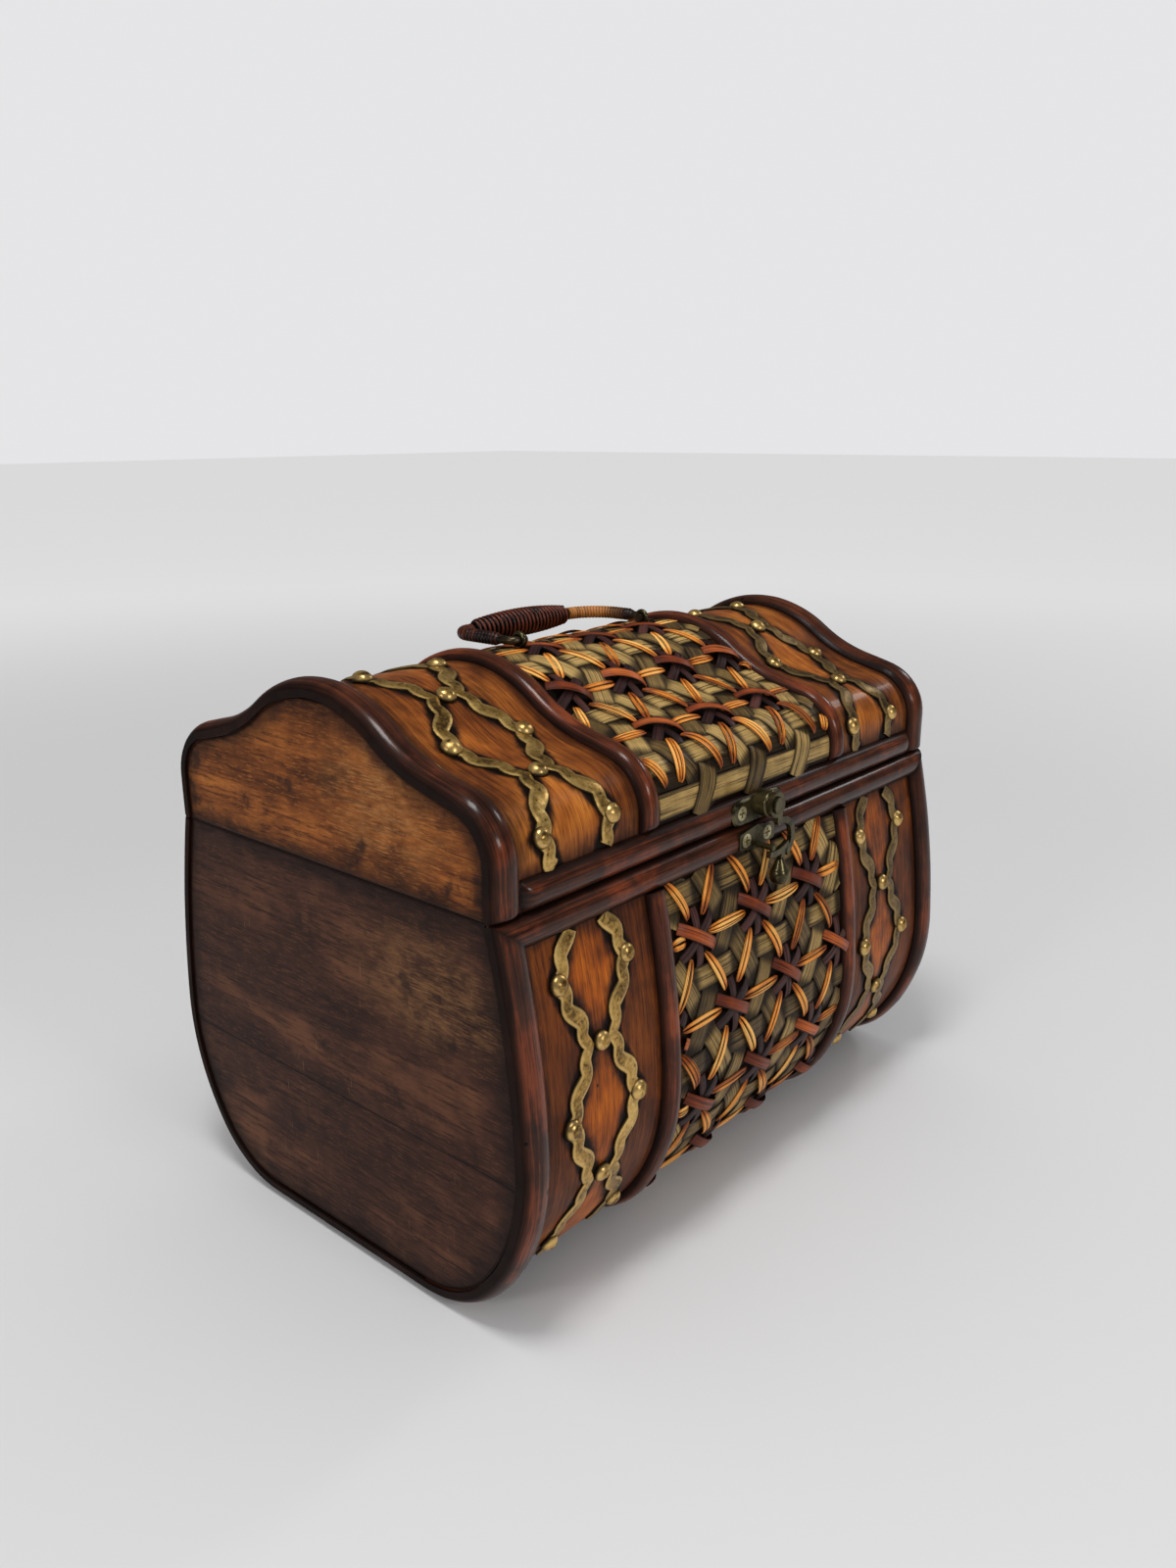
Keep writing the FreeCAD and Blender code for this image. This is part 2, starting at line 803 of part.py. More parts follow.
def runs_out(edge):
    ends = [v.Point for v in edge.Vertexes]
    return len(ends) == 2 and abs(ends[0].y - ends[1].y) > catch_thickness / 2


def catch_pin():
    """The peg that the finger hooks under."""
    root = front(pin_shift, catch_rail_face, pin_height)
    tip = front(pin_shift, hook_outer + pin_radius / 2, pin_height)
    peg = rod(pin_radius - seat_gap / 2, root, tip)
    return peg.makeChamfer(pin_radius / pin_round_share, [peg.Edges[0]] if
                           abs(peg.Edges[0].CenterOfMass.y) > abs(peg.Edges[2].CenterOfMass.y)
                           else [peg.Edges[2]])


pin_round_share = 4.0


def front_rail_flats():
    """What the latch and catch plates take off the front rails."""
    reach = chest_length
    half = latch_plate_width / 2 + joint_gap
    lid_cut = box(-half, half, -reach, -latch_seat, lid_foot - overrun, lid_top)
    half = catch_width / 2 + joint_gap
    body_cut = box(pin_shift - half, pin_shift + half, -reach, -catch_rail_face, 0,
                   rim_height + overrun)
    return lid_cut, body_cut


# Butt hinges on the back

hinge_place = 92.0
hinge_width = 26.0
hinge_leaf = 10.6
hinge_leaf_thickness = 1.2
hinge_flat = 0.2
barrel_radius = 2.4
hinge_pin_radius = 1.1
knuckle_gap = 0.15
pin_play = 0.06
pin_grip = 0.01
hinge_screw_place = 8.0

hinge_face = half_mouth + bead_height - hinge_flat
barrel_y = hinge_face + barrel_radius
barrel_z = rim_height + lid_gap / 2
knuckle = hinge_width / 3


def knuckles(middle, spans, hole):
    pieces = []
    for low, high in spans:
        outer = rod(barrel_radius, Vector(middle + low, barrel_y, barrel_z),
                    Vector(middle + high, barrel_y, barrel_z))
        pieces.append(outer)
    bore = rod(hole, Vector(middle - hinge_width, barrel_y, barrel_z),
               Vector(middle + hinge_width, barrel_y, barrel_z))
    return pieces, bore


def leaf(middle, upward, spans, hole):
    """A leaf with its knuckles, on the lid where upward is 1 and on the body where it is -1."""
    half = hinge_width / 2
    near = barrel_z + upward * lid_gap
    far = barrel_z + upward * hinge_leaf
    z_low, z_high = min(near, far), max(near, far)
    plate = box(middle - half, middle + half, hinge_face, hinge_face + hinge_leaf_thickness,
                z_low, z_high)
    tabs = [box(middle + low, middle + high, hinge_face, hinge_face + hinge_leaf_thickness,
                min(barrel_z, far), max(barrel_z, far)) for low, high in spans]
    reach = barrel_radius + knuckle_gap
    room = rod(reach, Vector(middle - hinge_width, barrel_y, barrel_z),
               Vector(middle + hinge_width, barrel_y, barrel_z))
    pieces, bore = knuckles(middle, spans, hole)
    whole = plate.cut(room).fuse(tabs + pieces).cut(bore)
    for at in hinge_screw_points(middle, upward):
        whole = whole.cut(screw_seat(at, Vector(0, 1, 0)))
    return whole.removeSplitter()


def hinge_screw_points(middle, upward):
    face = hinge_face + hinge_leaf_thickness
    height = barrel_z + upward * (hinge_leaf + barrel_radius) / 2
    return [Vector(middle + side * hinge_screw_place, face, height) for side in (-1, 1)]


def lid_spans():
    half = knuckle / 2 - knuckle_gap / 2
    return [(-half, half)]


def body_spans():
    half = hinge_width / 2
    inner = knuckle / 2 + knuckle_gap / 2
    return [(-half, -inner), (inner, half)]


def hinge_leaves(upward, spans, hole):
    return group([leaf(side * hinge_place, upward, spans, hole) for side in (-1, 1)])


def hinge_pin(middle):
    half = hinge_width / 2 + pin_head_out
    shaft = rod(hinge_pin_radius, Vector(middle - half, barrel_y, barrel_z),
                Vector(middle + half, barrel_y, barrel_z))
    for side in (-1, 1):
        start = Vector(middle + side * (half - pin_head_out + seat_gap), barrel_y, barrel_z)
        end = Vector(middle + side * (half + pin_head_out / 2), barrel_y, barrel_z)
        shaft = shaft.fuse(rod(barrel_radius * pin_head_share, start, end))
    return shaft.removeSplitter()


pin_head_out = 0.8
pin_head_share = 0.75


def hinge_screws(upward):
    found = []
    for side in (-1, 1):
        for at in hinge_screw_points(side * hinge_place, upward):
            found.append(screw(at, Vector(0, 1, 0)))
    return group(found)


def back_rail_flats():
    """What the hinge leaves and knuckles take off the back rails."""
    cuts = []
    reach = chest_length
    for side in (-1, 1):
        half = hinge_width / 2 + joint_gap * 2 + pin_head_out * 2
        middle = side * hinge_place
        cuts.append(box(middle - half, middle + half, hinge_face, reach, 0, lid_top))
    return cuts[0].fuse(cuts[1])


# Carrying handle on the ridge

eye_spread = 82.0
eye_height = 4.6
eye_wire = 1.0
pivot_radius = 1.8
eye_play = 0.06
eye_shank = 4.0
leg_length = 34.7
leg_shift = 3.6
bail_radius = 1.8
pivot_bend = 3.0
near_bend = 7.5
far_bend = 17.0
grip_start = -36.5
grip_stop = 27.0
grip_radius = 6.4
grip_end_radius = 3.9
cord_diameter = 1.9
cord_turns = 24
near_wrap_radius = 2.9
far_wrap_radius = 2.9
wrap_start = 10.5

pivot_height = lid_top + eye_height
pivot_x = eye_spread / 2
leg_x = pivot_x + leg_shift
ACROSS = Vector(1, 0, 0)


def bail_path():
    """Middle line of the bail, laid back: pin, near leg, grip, long bend, far leg, pin."""
    z = pivot_height
    inner = pivot_x - eye_wire - pin_stub
    points = [Vector(-inner, 0, z), Vector(-leg_x, 0, z), Vector(-leg_x, leg_length, z),
              Vector(leg_x, leg_length, z), Vector(leg_x, 0, z), Vector(inner, 0, z)]
    radii = [pivot_bend, near_bend, far_bend, pivot_bend]
    return rounded(points, radii)


pin_stub = 2.2


def rounded(points, radii):
    """Edges through points with a tangent arc at each inner one."""
    edges = []
    at = points[0]
    for before, corner, after, radius in zip(points, points[1:], points[2:], radii):
        back = (before - corner).normalize()
        ahead = (after - corner).normalize()
        half = back.getAngle(ahead) / 2
        cut = radius / tan(half)
        start, end = corner + back * cut, corner + ahead * cut
        towards = (back + ahead).normalize()
        middle = corner + towards * (radius / sin(half) - radius)
        edges += [line(at, start), Part.Arc(start, middle, end).toShape()]
        at = end
    return edges + [line(at, points[-1])]


def circle_wire(centre, direction, radius):
    return Part.Wire([Part.makeCircle(radius, centre, direction)])


def tube(edges, radius):
    path = Part.Wire(edges)
    start = edges[0].valueAt(edges[0].FirstParameter)
    heading = edges[0].tangentAt(edges[0].FirstParameter)
    return path.makePipeShell([circle_wire(start, heading, radius)], True, False)


def handle_bail():
    """A bent rod with a head on each pin end, inside the eyes."""
    bar_shape = tube(bail_path(), bail_radius)
    inner = pivot_x - eye_wire - pin_stub
    for side in (-1, 1):
        start = Vector(side * inner, 0, pivot_height)
        end = Vector(side * (inner + pin_stub / 2), 0, pivot_height)
        bar_shape = bar_shape.fuse(rod(bail_radius * pin_head_wide_share, start, end))
    return bar_shape.removeSplitter()


pin_head_wide_share = 1.15


def handle_eye(side):
    """A ring on a shank that is driven into the ridge."""
    bore = pivot_radius + eye_play
    centre = Vector(side * pivot_x, 0, pivot_height)
    ring = Part.makeTorus(bore + eye_wire, eye_wire, centre, ACROSS)
    top = Vector(side * pivot_x, 0, pivot_height - bore - eye_wire)
    foot = Vector(side * pivot_x, 0, lid_top - panel_thickness - eye_shank / 2)
    shank = rod(eye_wire, top, foot)
    return ring.fuse(shank).removeSplitter()


def spindle(start, stop, middle_radius, end_radius):
    """A barrel-shaped padding with the bail through it."""
    half = (stop - start) / 2
    y, z = leg_length, pivot_height
    low, high = Vector(start, y, z), Vector(stop, y, z)
    arc = Part.Arc(low + Vector(0, end_radius, 0), low + Vector(half, middle_radius, 0),
                   high + Vector(0, end_radius, 0)).toShape()
    sides = [line(low + Vector(0, bail_radius, 0), low + Vector(0, end_radius, 0)),
             line(high + Vector(0, bail_radius, 0), high + Vector(0, end_radius, 0)),
             line(low + Vector(0, bail_radius, 0), high + Vector(0, bail_radius, 0))]
    face = Part.Face(Part.Wire(Part.__sortEdges__([arc] + sides)))
    turned = face.revolve(low, ACROSS, 180).fuse(face.revolve(low, ACROSS, -180))
    return turned.removeSplitter()


def grip_surface(x):
    """Radius of the padding at x, on the same arc as its outline."""
    half = (grip_stop - grip_start) / 2
    rise = grip_core_middle - grip_core_end
    radius = (half ** 2 + rise ** 2) / (2 * rise)
    off = x - (grip_start + grip_stop) / 2
    return grip_core_middle - radius + sqrt(radius ** 2 - off ** 2)


grip_core_middle = grip_radius - cord_diameter
grip_core_end = grip_end_radius - cord_diameter


def coil_point(turn):
    """Middle of the cord after a number of turns, just clear of the padding."""
    run = grip_stop - grip_start - cord_diameter * 2 - cord_end_room * 2
    x = grip_start + cord_diameter + cord_end_room + run * turn / cord_turns
    reach = grip_surface(x) + cord_diameter / 2 + cord_seat_gap
    angle = turn * 2 * pi
    return Vector(x, leg_length - reach * sin(angle), pivot_height + reach * cos(angle))


cord_end_room = 0.6
cord_seat_gap = 0.15
turn_share = 0.25
tangent_share = 0.01


def coil_tangent(turn):
    return (coil_point(turn + tangent_share) - coil_point(turn - tangent_share)).normalize()


def biarc(p0, t0, p1, t1):
    """Two tangent arcs from p0 to p1 with the given headings."""
    gap = p1 - p0
    both = t0 + t1
    lead = both.dot(gap)
    bend = 2 * (1 - t0.dot(t1))
    reach = (sqrt(lead ** 2 + bend * gap.dot(gap)) - lead) / bend
    joint = (p0 + t0 * reach + p1 - t1 * reach) / 2
    return [tangent_arc(p0, t0, joint), tangent_arc(joint, (p1 - t1 * reach - joint), p1)]


def tangent_arc(start, heading, end):
    heading = Vector(heading).normalize()
    chord = end - start
    lean = heading.dot(chord) / chord.Length
    side = (chord * (heading.dot(chord) / chord.dot(chord)) - heading)
    half_angle = acos(max(-1.0, min(1.0, lean)))
    sagitta = chord.Length / 2 * tan(half_angle / 2)
    middle = start + chord / 2 - side.normalize() * sagitta
    return Part.Arc(start, middle, end).toShape()


def grip_cord():
    """One unbroken cord wound over the padding, its two ends led straight off."""
    count = int(cord_turns / turn_share)
    turns = [i * turn_share for i in range(count + 1)]
    edges = []
    for a, b in zip(turns, turns[1:]):
        edges += biarc(coil_point(a), coil_tangent(a), coil_point(b), coil_tangent(b))
    lead_in = line(coil_point(0) - coil_tangent(0) * cord_diameter, coil_point(0))
    last = coil_point(cord_turns)
    lead_out = line(last, last + coil_tangent(cord_turns) * cord_diameter)
    edges = [lead_in] + edges + [lead_out]
    print("grip cord least gap to itself:", round(coil_gap(), 3), "mm")
    return tube(edges, cord_diameter / 2)


def coil_gap():
    """Least distance between the skins of neighbouring turns, measured on points."""
    per_turn = 24
    points = [coil_point(i / per_turn) for i in range(cord_turns * per_turn + 1)]
    least = chest_length
    for i, point in enumerate(points):
        for other in points[i + per_turn * 3 // 4:i + per_turn * 5 // 4]:
            least = min(least, (point - other).Length)
    return least - cord_diameter


def sleeve(edges, radius):
    """A wrapping round part of the bail."""
    return tube(edges, radius).cut(tube(bail_path(), bail_radius)).removeSplitter()


def near_wrap():
    """Leather wrapping on the near leg and round its bend."""
    path = bail_path()
    leg = path[2]
    start = Vector(-leg_x, wrap_start, pivot_height)
    first = line(start, leg.valueAt(leg.LastParameter))
    return sleeve([first, path[3]], near_wrap_radius)


def far_wrap():
    """Cane wrapping on the far end of the grip, the long bend and the far leg."""
    path = bail_path()
    bend = path[5]
    bend_start = bend.valueAt(bend.FirstParameter)
    start = Vector(grip_stop + joint_gap, leg_length, pivot_height)
    bend_end = bend.valueAt(bend.LastParameter)
    stop = Vector(leg_x, wrap_start, pivot_height)
    edges = [line(start, bend_start), bend, line(bend_end, stop)]
    return sleeve(edges, far_wrap_radius)


def save(node, shape):
    shape.exportStep(f"parts/{node}.step")
    print(f"{node:26s} solids {len(shape.Solids):3d}  volume {shape.Volume:10.1f}")


def make_body():
    front_panel, back_panel = body_panels()
    save("body_front_panel", front_panel)
    save("body_back_panel", back_panel)
    save("body_bottom_board", bottom_board())
    upper, lower = body_end()
    save("body_end_left_upper", upper)
    save("body_end_left_lower", lower)
    save("body_end_right_upper", mirrored(upper))
    save("body_end_right_lower", mirrored(lower))
    stop = BODY.half - rail_width - joint_gap
    for side, shape in zip(("left", "right"), edge_bead(BODY, -stop, stop)):
        save(f"body_edge_bead_{side}", on_the_floor(shape))
    for side, shape in zip(("left", "right"), rib(BODY, -stop, stop)):
        save(f"body_rib_{side}", on_the_floor(shape))
    rail = body_rail()
    save("body_rail_back", rail.cut(back_rail_flats()))
    save("body_rail_front", flipped(rail).cut(front_rail_flats()[1]))
    back_weave = body_weave(stop)
    save("body_weave_back", back_weave)
    save("body_weave_front", flipped(back_weave))
    for side, middle in zip(("left", "right"), strap_middles):
        strips = body_strips(middle)
        save(f"body_straps_back_{side}", strips)
        save(f"body_straps_front_{side}", flipped(strips))
    studs = body_studs()
    save("body_studs_back", studs)
    save("body_studs_front", flipped(studs))


def make_lid():
    save("lid_shell", lid_shell())
    board = lid_end()
    save("lid_end_left", board)
    save("lid_end_right", mirrored(board))
    for side, shape in zip(("left", "right"), edge_bead(LID, -LID.half, LID.half)):
        save(f"lid_edge_bead_{side}", shape)
    stop = LID.half - rail_width - joint_gap
    for side, shape in zip(("left", "right"), rib(LID, -stop, stop)):
        save(f"lid_rib_{side}", shape)
    rail = lid_rail()
    save("lid_rail_back", rail.cut(back_rail_flats()))
    save("lid_rail_front", flipped(rail).cut(front_rail_flats()[0]))
    save("lid_weave", lid_weave(stop))
    for side, middle in zip(("left", "right"), strap_middles):
        save(f"lid_straps_{side}", lid_strips(middle))
    save("lid_studs", lid_studs())


def make_latch():
    save("latch_plate", latch_plate())
    save("latch_post", latch_post())
    save("latch_screws", group([screw(at, OUT) for at in latch_screw_points()]))
    save("latch_hook", latch_hook())
    save("catch_plate", catch_plate())
    save("catch_pin", catch_pin())
    save("catch_screws", group([screw(at, OUT) for at in catch_screw_points()]))


def make_hinges():
    save("hinge_body_leaves", hinge_leaves(-1, body_spans(), hinge_pin_radius + pin_grip))
    save("hinge_lid_leaves", hinge_leaves(1, lid_spans(), hinge_pin_radius + pin_play))
    save("hinge_pins", group([hinge_pin(side * hinge_place) for side in (-1, 1)]))
    save("hinge_body_screws", hinge_screws(-1))
    save("hinge_lid_screws", hinge_screws(1))


def make_handle():
    save("handle_eyes", group([handle_eye(-1), handle_eye(1)]))
    save("handle_bail", handle_bail())
    save("grip_padding", spindle(grip_start, grip_stop, grip_core_middle, grip_core_end))
    save("grip_cord", grip_cord())
    save("handle_near_wrap", near_wrap())
    save("handle_far_wrap", far_wrap())


os.makedirs("parts", exist_ok=True)
make_body()
make_lid()
make_latch()
make_hinges()
make_handle()
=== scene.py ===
import math
import random

import bmesh
import bpy
from mathutils import Euler, Matrix, Vector, noise


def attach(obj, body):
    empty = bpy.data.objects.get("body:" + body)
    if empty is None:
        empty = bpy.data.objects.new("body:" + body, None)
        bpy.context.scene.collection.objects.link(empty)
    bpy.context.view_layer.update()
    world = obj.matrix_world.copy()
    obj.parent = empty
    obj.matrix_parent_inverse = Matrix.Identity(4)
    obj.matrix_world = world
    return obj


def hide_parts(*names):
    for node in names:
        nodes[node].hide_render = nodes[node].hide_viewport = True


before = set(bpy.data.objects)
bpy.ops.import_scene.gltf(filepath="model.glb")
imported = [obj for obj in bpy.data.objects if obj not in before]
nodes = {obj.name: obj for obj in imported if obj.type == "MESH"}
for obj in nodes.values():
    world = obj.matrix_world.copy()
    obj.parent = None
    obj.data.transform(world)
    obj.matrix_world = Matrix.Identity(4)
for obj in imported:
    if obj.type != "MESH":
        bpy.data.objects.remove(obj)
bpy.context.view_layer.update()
MM = 0.001


# The camera stands in front of the chest's left corner, a little above its lid. Its place was worked out
# from the corners, ridge and rim of the chest in a picture 1200 pixels wide and 1600 high.
picture_height = 1600
focal_pixels = 1242.62
camera_place = Vector((-403.9, -356.5, 319.8)) * MM
camera_azimuth = math.radians(-48.72)
camera_elevation = math.radians(16.37)
camera_roll = math.radians(-0.36)

camera = bpy.data.objects.new("camera", bpy.data.cameras.new("camera"))
bpy.context.scene.collection.objects.link(camera)
bpy.context.scene.camera = camera
camera.data.lens = camera.data.sensor_width * focal_pixels / picture_height
camera.data.clip_start = 10 * MM
camera.data.clip_end = 60
camera.location = camera_place
facing = Euler((math.pi / 2 - camera_elevation, 0, camera_azimuth), "XYZ").to_matrix()
camera.rotation_euler = (facing @ Matrix.Rotation(camera_roll, 3, "Z")).to_euler("XYZ")


# A pale matt floor in a bright tent: white cloth on all sides gives even light, and soft boxes above, at
# both sides and in front give the highlights. The cloth is dimmer in mirrored light than it looks.
bpy.context.scene.view_settings.view_transform = "Standard"


def dye(red, green, blue):
    """A colour written as it looks, from 0 to 255, as the shaders' own linear colour."""
    def straight(value):
        share = value / 255
        return share / 12.92 if share <= 0.04045 else ((share + 0.055) / 1.055) ** 2.4
    return (straight(red), straight(green), straight(blue), 1)


def new_piece(name, mesh):
    """A mesh as an object at the origin."""
    piece = bpy.data.objects.new(name, mesh)
    bpy.context.scene.collection.objects.link(piece)
    return piece


class Value:
    """A socket of a node tree. Arithmetic on it adds Math nodes."""

    def __init__(self, owner, socket):
        self.owner = owner
        self.socket = socket

    def math(self, operation, *others):
        inputs = dict(enumerate((self,) + others))
        return self.owner.node("ShaderNodeMath", {"operation": operation}, inputs)

    def __add__(self, other):
        return self.math("ADD", other)

    def __sub__(self, other):
        return self.math("SUBTRACT", other)

    def __mul__(self, other):
        return self.math("MULTIPLY", other)

    def __truediv__(self, other):
        return self.math("DIVIDE", other)

    def __rsub__(self, other):
        return self * -1 + other

    def __abs__(self):
        return self.math("ABSOLUTE")

    __radd__ = __add__
    __rmul__ = __mul__

    def swing(self, reach):
        """Runs to and fro between 0 and reach."""
        return self.math("PINGPONG", reach)

    def least(self, other):
        return self.math("MINIMUM", other)

    def most(self, other):
        return self.math("MAXIMUM", other)

    def fade(self, low, high):
        """Rises smoothly from 0 at low to 1 at high."""
        settings = {"interpolation_type": "SMOOTHSTEP"}
        return self.owner.node("ShaderNodeMapRange", settings, {0: self, 1: low, 2: high})


class Nodes:
    """A node tree under construction."""

    def __init__(self, tree):
        self.tree = tree

    def node(self, kind, settings=None, inputs=None, output=0):
        made = self.tree.nodes.new(kind)
        for key, value in (settings or {}).items():
            if key == "stops":
                self.stops(made.color_ramp, value)
            else:
                setattr(made, key, value)
        for key, value in (inputs or {}).items():
            self.feed(made.inputs[key], value)
        return Value(self, made.outputs[output])

    def stops(self, ramp, stops):
        while len(ramp.elements) < len(stops):
            ramp.elements.new(1)
        for element, (position, colour) in zip(ramp.elements, stops):
            element.position = position
            element.color = colour

    def feed(self, socket, value):
        if isinstance(value, Value):
            self.tree.links.new(value.socket, socket)
        else:
            socket.default_value = value


class Finish(Nodes):
    """A material under construction."""

    def __init__(self, name, **surface):
        self.material = bpy.data.materials.new(name)
        self.material.use_nodes = True
        super().__init__(self.material.node_tree)
        self.surface = self.tree.nodes["Principled BSDF"]
        for key, value in surface.items():
            self.surface.inputs[key.replace("_", " ").title().replace("Ior", "IOR")].default_value = value

    def place(self):
        return self.node("ShaderNodeTexCoord", output="Object")

    def chart(self, name):
        """The piece's own UV map, in metres."""
        return self.node("ShaderNodeUVMap", {"uv_map": name})

    def part(self, vector, axis):
        return self.node("ShaderNodeSeparateXYZ", None, {0: vector}, axis)

    def mark(self, name):
        """A number kept with the points of the mesh."""
        return self.node("ShaderNodeAttribute", {"attribute_name": name}, None, "Fac")

    def scaled(self, vector, scale, shift=(0, 0, 0), turn=(0, 0, 0)):
        return self.node("ShaderNodeMapping", None, {0: vector, 1: shift, 2: turn, 3: scale})

    def moved(self, vector, *shift):
        return self.scaled(vector, (1, 1, 1), shift)

    def grit(self, vector, scale=1.0, detail=3.0, roughness=0.5, distortion=0.0):
        """Soft noise from 0 to 1."""
        inputs = {"Vector": vector, "Scale": scale, "Detail": detail, "Roughness": roughness,
                  "Distortion": distortion}
        return self.node("ShaderNodeTexNoise", None, inputs)

    def fibre(self, vector, stretch, detail, roughness, distortion=0.0, shift=(0, 0, 0), turn=(0, 0, 0)):
        """Soft noise with a scale for each axis."""
        return self.grit(self.scaled(vector, stretch, shift, turn), 1, detail, roughness, distortion)

    def cells(self, vector, scale=1.0):
        """Distance to scattered points, in cells."""
        return self.node("ShaderNodeTexVoronoi", None, {"Vector": vector, "Scale": scale}, "Distance")

    def ramp(self, value, *stops):
        return self.node("ShaderNodeValToRGB", {"stops": stops}, {0: value})

    def mix(self, share, first, second):
        return self.node("ShaderNodeMix", {"data_type": "RGBA"}, {0: share, 6: first, 7: second}, 2)

    def relief(self, height, strength=1.0, depth=1.0):
        return self.node("ShaderNodeBump", None,
                         {"Height": height, "Strength": strength, "Distance": depth * MM})

    def wear(self, colour=None, roughness=None, normal=None, coat=None):
        """Feeds what changes over the surface."""
        for key, value in (("Base Color", colour), ("Roughness", roughness), ("Normal", normal),
                           ("Coat Weight", coat)):
            if value is not None:
                self.feed(self.surface.inputs[key], value)
        return self.material


def dress(material, *names):
    """Gives CAD nodes a material."""
    for name in names:
        mesh = nodes[name].data
        mesh.materials.clear()
        mesh.materials.append(material)


def stand_for(piece, owner, node):
    """The piece rides on its body and takes the place of a CAD node."""
    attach(piece, owner)
    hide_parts(node)


def tube(first, rings, sides):
    """Faces of a closed tube of rings of points, numbered from first, with its two ends."""
    faces = []
    for i in range(rings - 1):
        a, b = first + i * sides, first + (i + 1) * sides
        for j in range(sides):
            k = (j + 1) % sides
            faces.append((a + j, b + j, b + k, a + k))
    last = first + (rings - 1) * sides
    return faces + [tuple(range(first, first + sides)), tuple(reversed(range(last, last + sides)))]


def solid(name, points, faces, sharp, chart=None, marks=None, kinds=None):
    """A smooth mesh with its faces turned outward and with edges kept from sharp degrees on. The chart
    is a UV map's name and a place for each point, marks are named numbers for each point, and kinds
    are the material slots of the faces."""
    mesh = bpy.data.meshes.new(name)
    mesh.from_pydata([tuple(point * MM) for point in points], [], faces)
    if chart:
        layer = mesh.uv_layers.new(name=chart[0])
        for loop in mesh.loops:
            layer.data[loop.index].uv = chart[1][loop.vertex_index]
    for key, values in (marks or {}).items():
        mesh.attributes.new(key, "FLOAT", "POINT").data.foreach_set("value", values)
    if kinds:
        mesh.polygons.foreach_set("material_index", kinds)
    mesh.polygons.foreach_set("use_smooth", [True] * len(mesh.polygons))
    made = bmesh.new()
    made.from_mesh(mesh)
    bmesh.ops.recalc_face_normals(made, faces=made.faces)
    made.to_mesh(mesh)
    made.free()
    mesh.set_sharp_from_angle(angle=math.radians(sharp))
    return new_piece(name, mesh)


floor_reach = 12.0
floor_fade = (0.4, 2.2)
floor_mesh = bpy.data.meshes.new("floor")
corners = [(-floor_reach, -floor_reach, 0), (floor_reach, -floor_reach, 0),
           (floor_reach, floor_reach, 0), (-floor_reach, floor_reach, 0)]
floor_mesh.from_pydata(corners, [], [(0, 1, 2, 3)])
floor = new_piece("floor", floor_mesh)
matt = Finish("matt_floor", roughness=0.9, specular_ior_level=0.1, emission_strength=1)
distance = matt.node("ShaderNodeVectorMath", {"operation": "LENGTH"}, {0: matt.place()}, "Value")
far = distance.fade(*floor_fade) * matt.node("ShaderNodeLightPath", output="Is Camera Ray")
matt.feed(matt.surface.inputs["Emission Color"], matt.mix(far, dye(0, 0, 0), dye(156, 156, 155)))
floor_mesh.materials.append(matt.wear(colour=dye(217, 217, 217)))

tent_light = 0.56
tent_seen = 0.8
tent_mirrored = 0.08
world = bpy.data.worlds.new("tent")
bpy.context.scene.world = world
world.use_nodes = True
tent = Nodes(world.node_tree)
seen = tent.node("ShaderNodeLightPath", output="Is Camera Ray")
mirrored = tent.node("ShaderNodeLightPath", output="Is Glossy Ray")
cloth = world.node_tree.nodes["Background"]
tent.feed(cloth.inputs["Color"], dye(253, 253, 255))
tent.feed(cloth.inputs["Strength"],
          seen * (tent_seen - tent_light) + mirrored * (tent_mirrored - tent_light) + tent_light)
lamp_aim = Vector((0, 0, 0.12))
lamps = [
    ("lamp_top", (-0.35, -0.15, 1.3), 0.3, 6.2),
    ("lamp_left", (-1.4, -0.1, 0.7), 0.24, 3.2),
    ("lamp_right", (1.25, -0.3, 0.95), 0.25, 2.0),
    ("lamp_front", (-0.1, -1.5, 0.8), 0.28, 4.4),
]
for name, place, size, power in lamps:
    lamp = bpy.data.objects.new(name, bpy.data.lights.new(name, "AREA"))
    bpy.context.scene.collection.objects.link(lamp)
    lamp.data.size = size
    lamp.data.energy = power
    lamp.location = place
    lamp.rotation_euler = (lamp_aim - Vector(place)).to_track_quat("-Z", "Y").to_euler()


# The bent outline of the lid and of the body, in the same arcs and lengths as the wooden sheets.
# Every strip, strap and nail is laid on it by its place along the outline and its lift.
class Outline:
    def __init__(self, height, sense, steps):
        self.pieces = []
        self.sense = sense
        at = Vector((0, height))
        along = 0.0
        for radius, first, last, length in steps:
            if radius:
                length = abs(radius * (last - first))
            self.pieces.append((along, length, radius, first, last, at))
            along += length
            at = self.walk(self.pieces[-1], length, 0)[0]
        self.half = along

    def walk(self, piece, distance, lift):
        start, length, radius, first, last, at = piece
        if not radius:
            out = Vector((math.cos(first), math.sin(first)))
            tangent = Vector((-out.y, out.x)) * self.sense
            return at + tangent * distance + out * lift, out
        angle = first + (last - first) * distance / length
        out = Vector((math.cos(angle), math.sin(angle)))
        centre = at - Vector((math.cos(first), math.sin(first))) * radius
        return centre + out * (radius + lift), out

    def look(self, x, s, lift=0.0):
        """Point and outward direction at x and at s along the outline; s is positive on the back."""
        far = min(abs(s), self.half)
        piece = [p for p in self.pieces if p[0] <= far][-1]
        point, out = self.walk(piece, far - piece[0], lift)
        side = -1 if s < 0 else 1
        return Vector((x, side * point.x, point.y)), Vector((0, side * out.x, out.y))

    def lay(self, x, s, lift=0.0):
        return self.look(x, s, lift)[0]


half_mouth = 90.0
base_height = 4.0
body_height = 159.7
rim_height = base_height + body_height
lid_foot = rim_height + 0.3
lid_height = 65.2
lid_top = lid_foot + lid_height


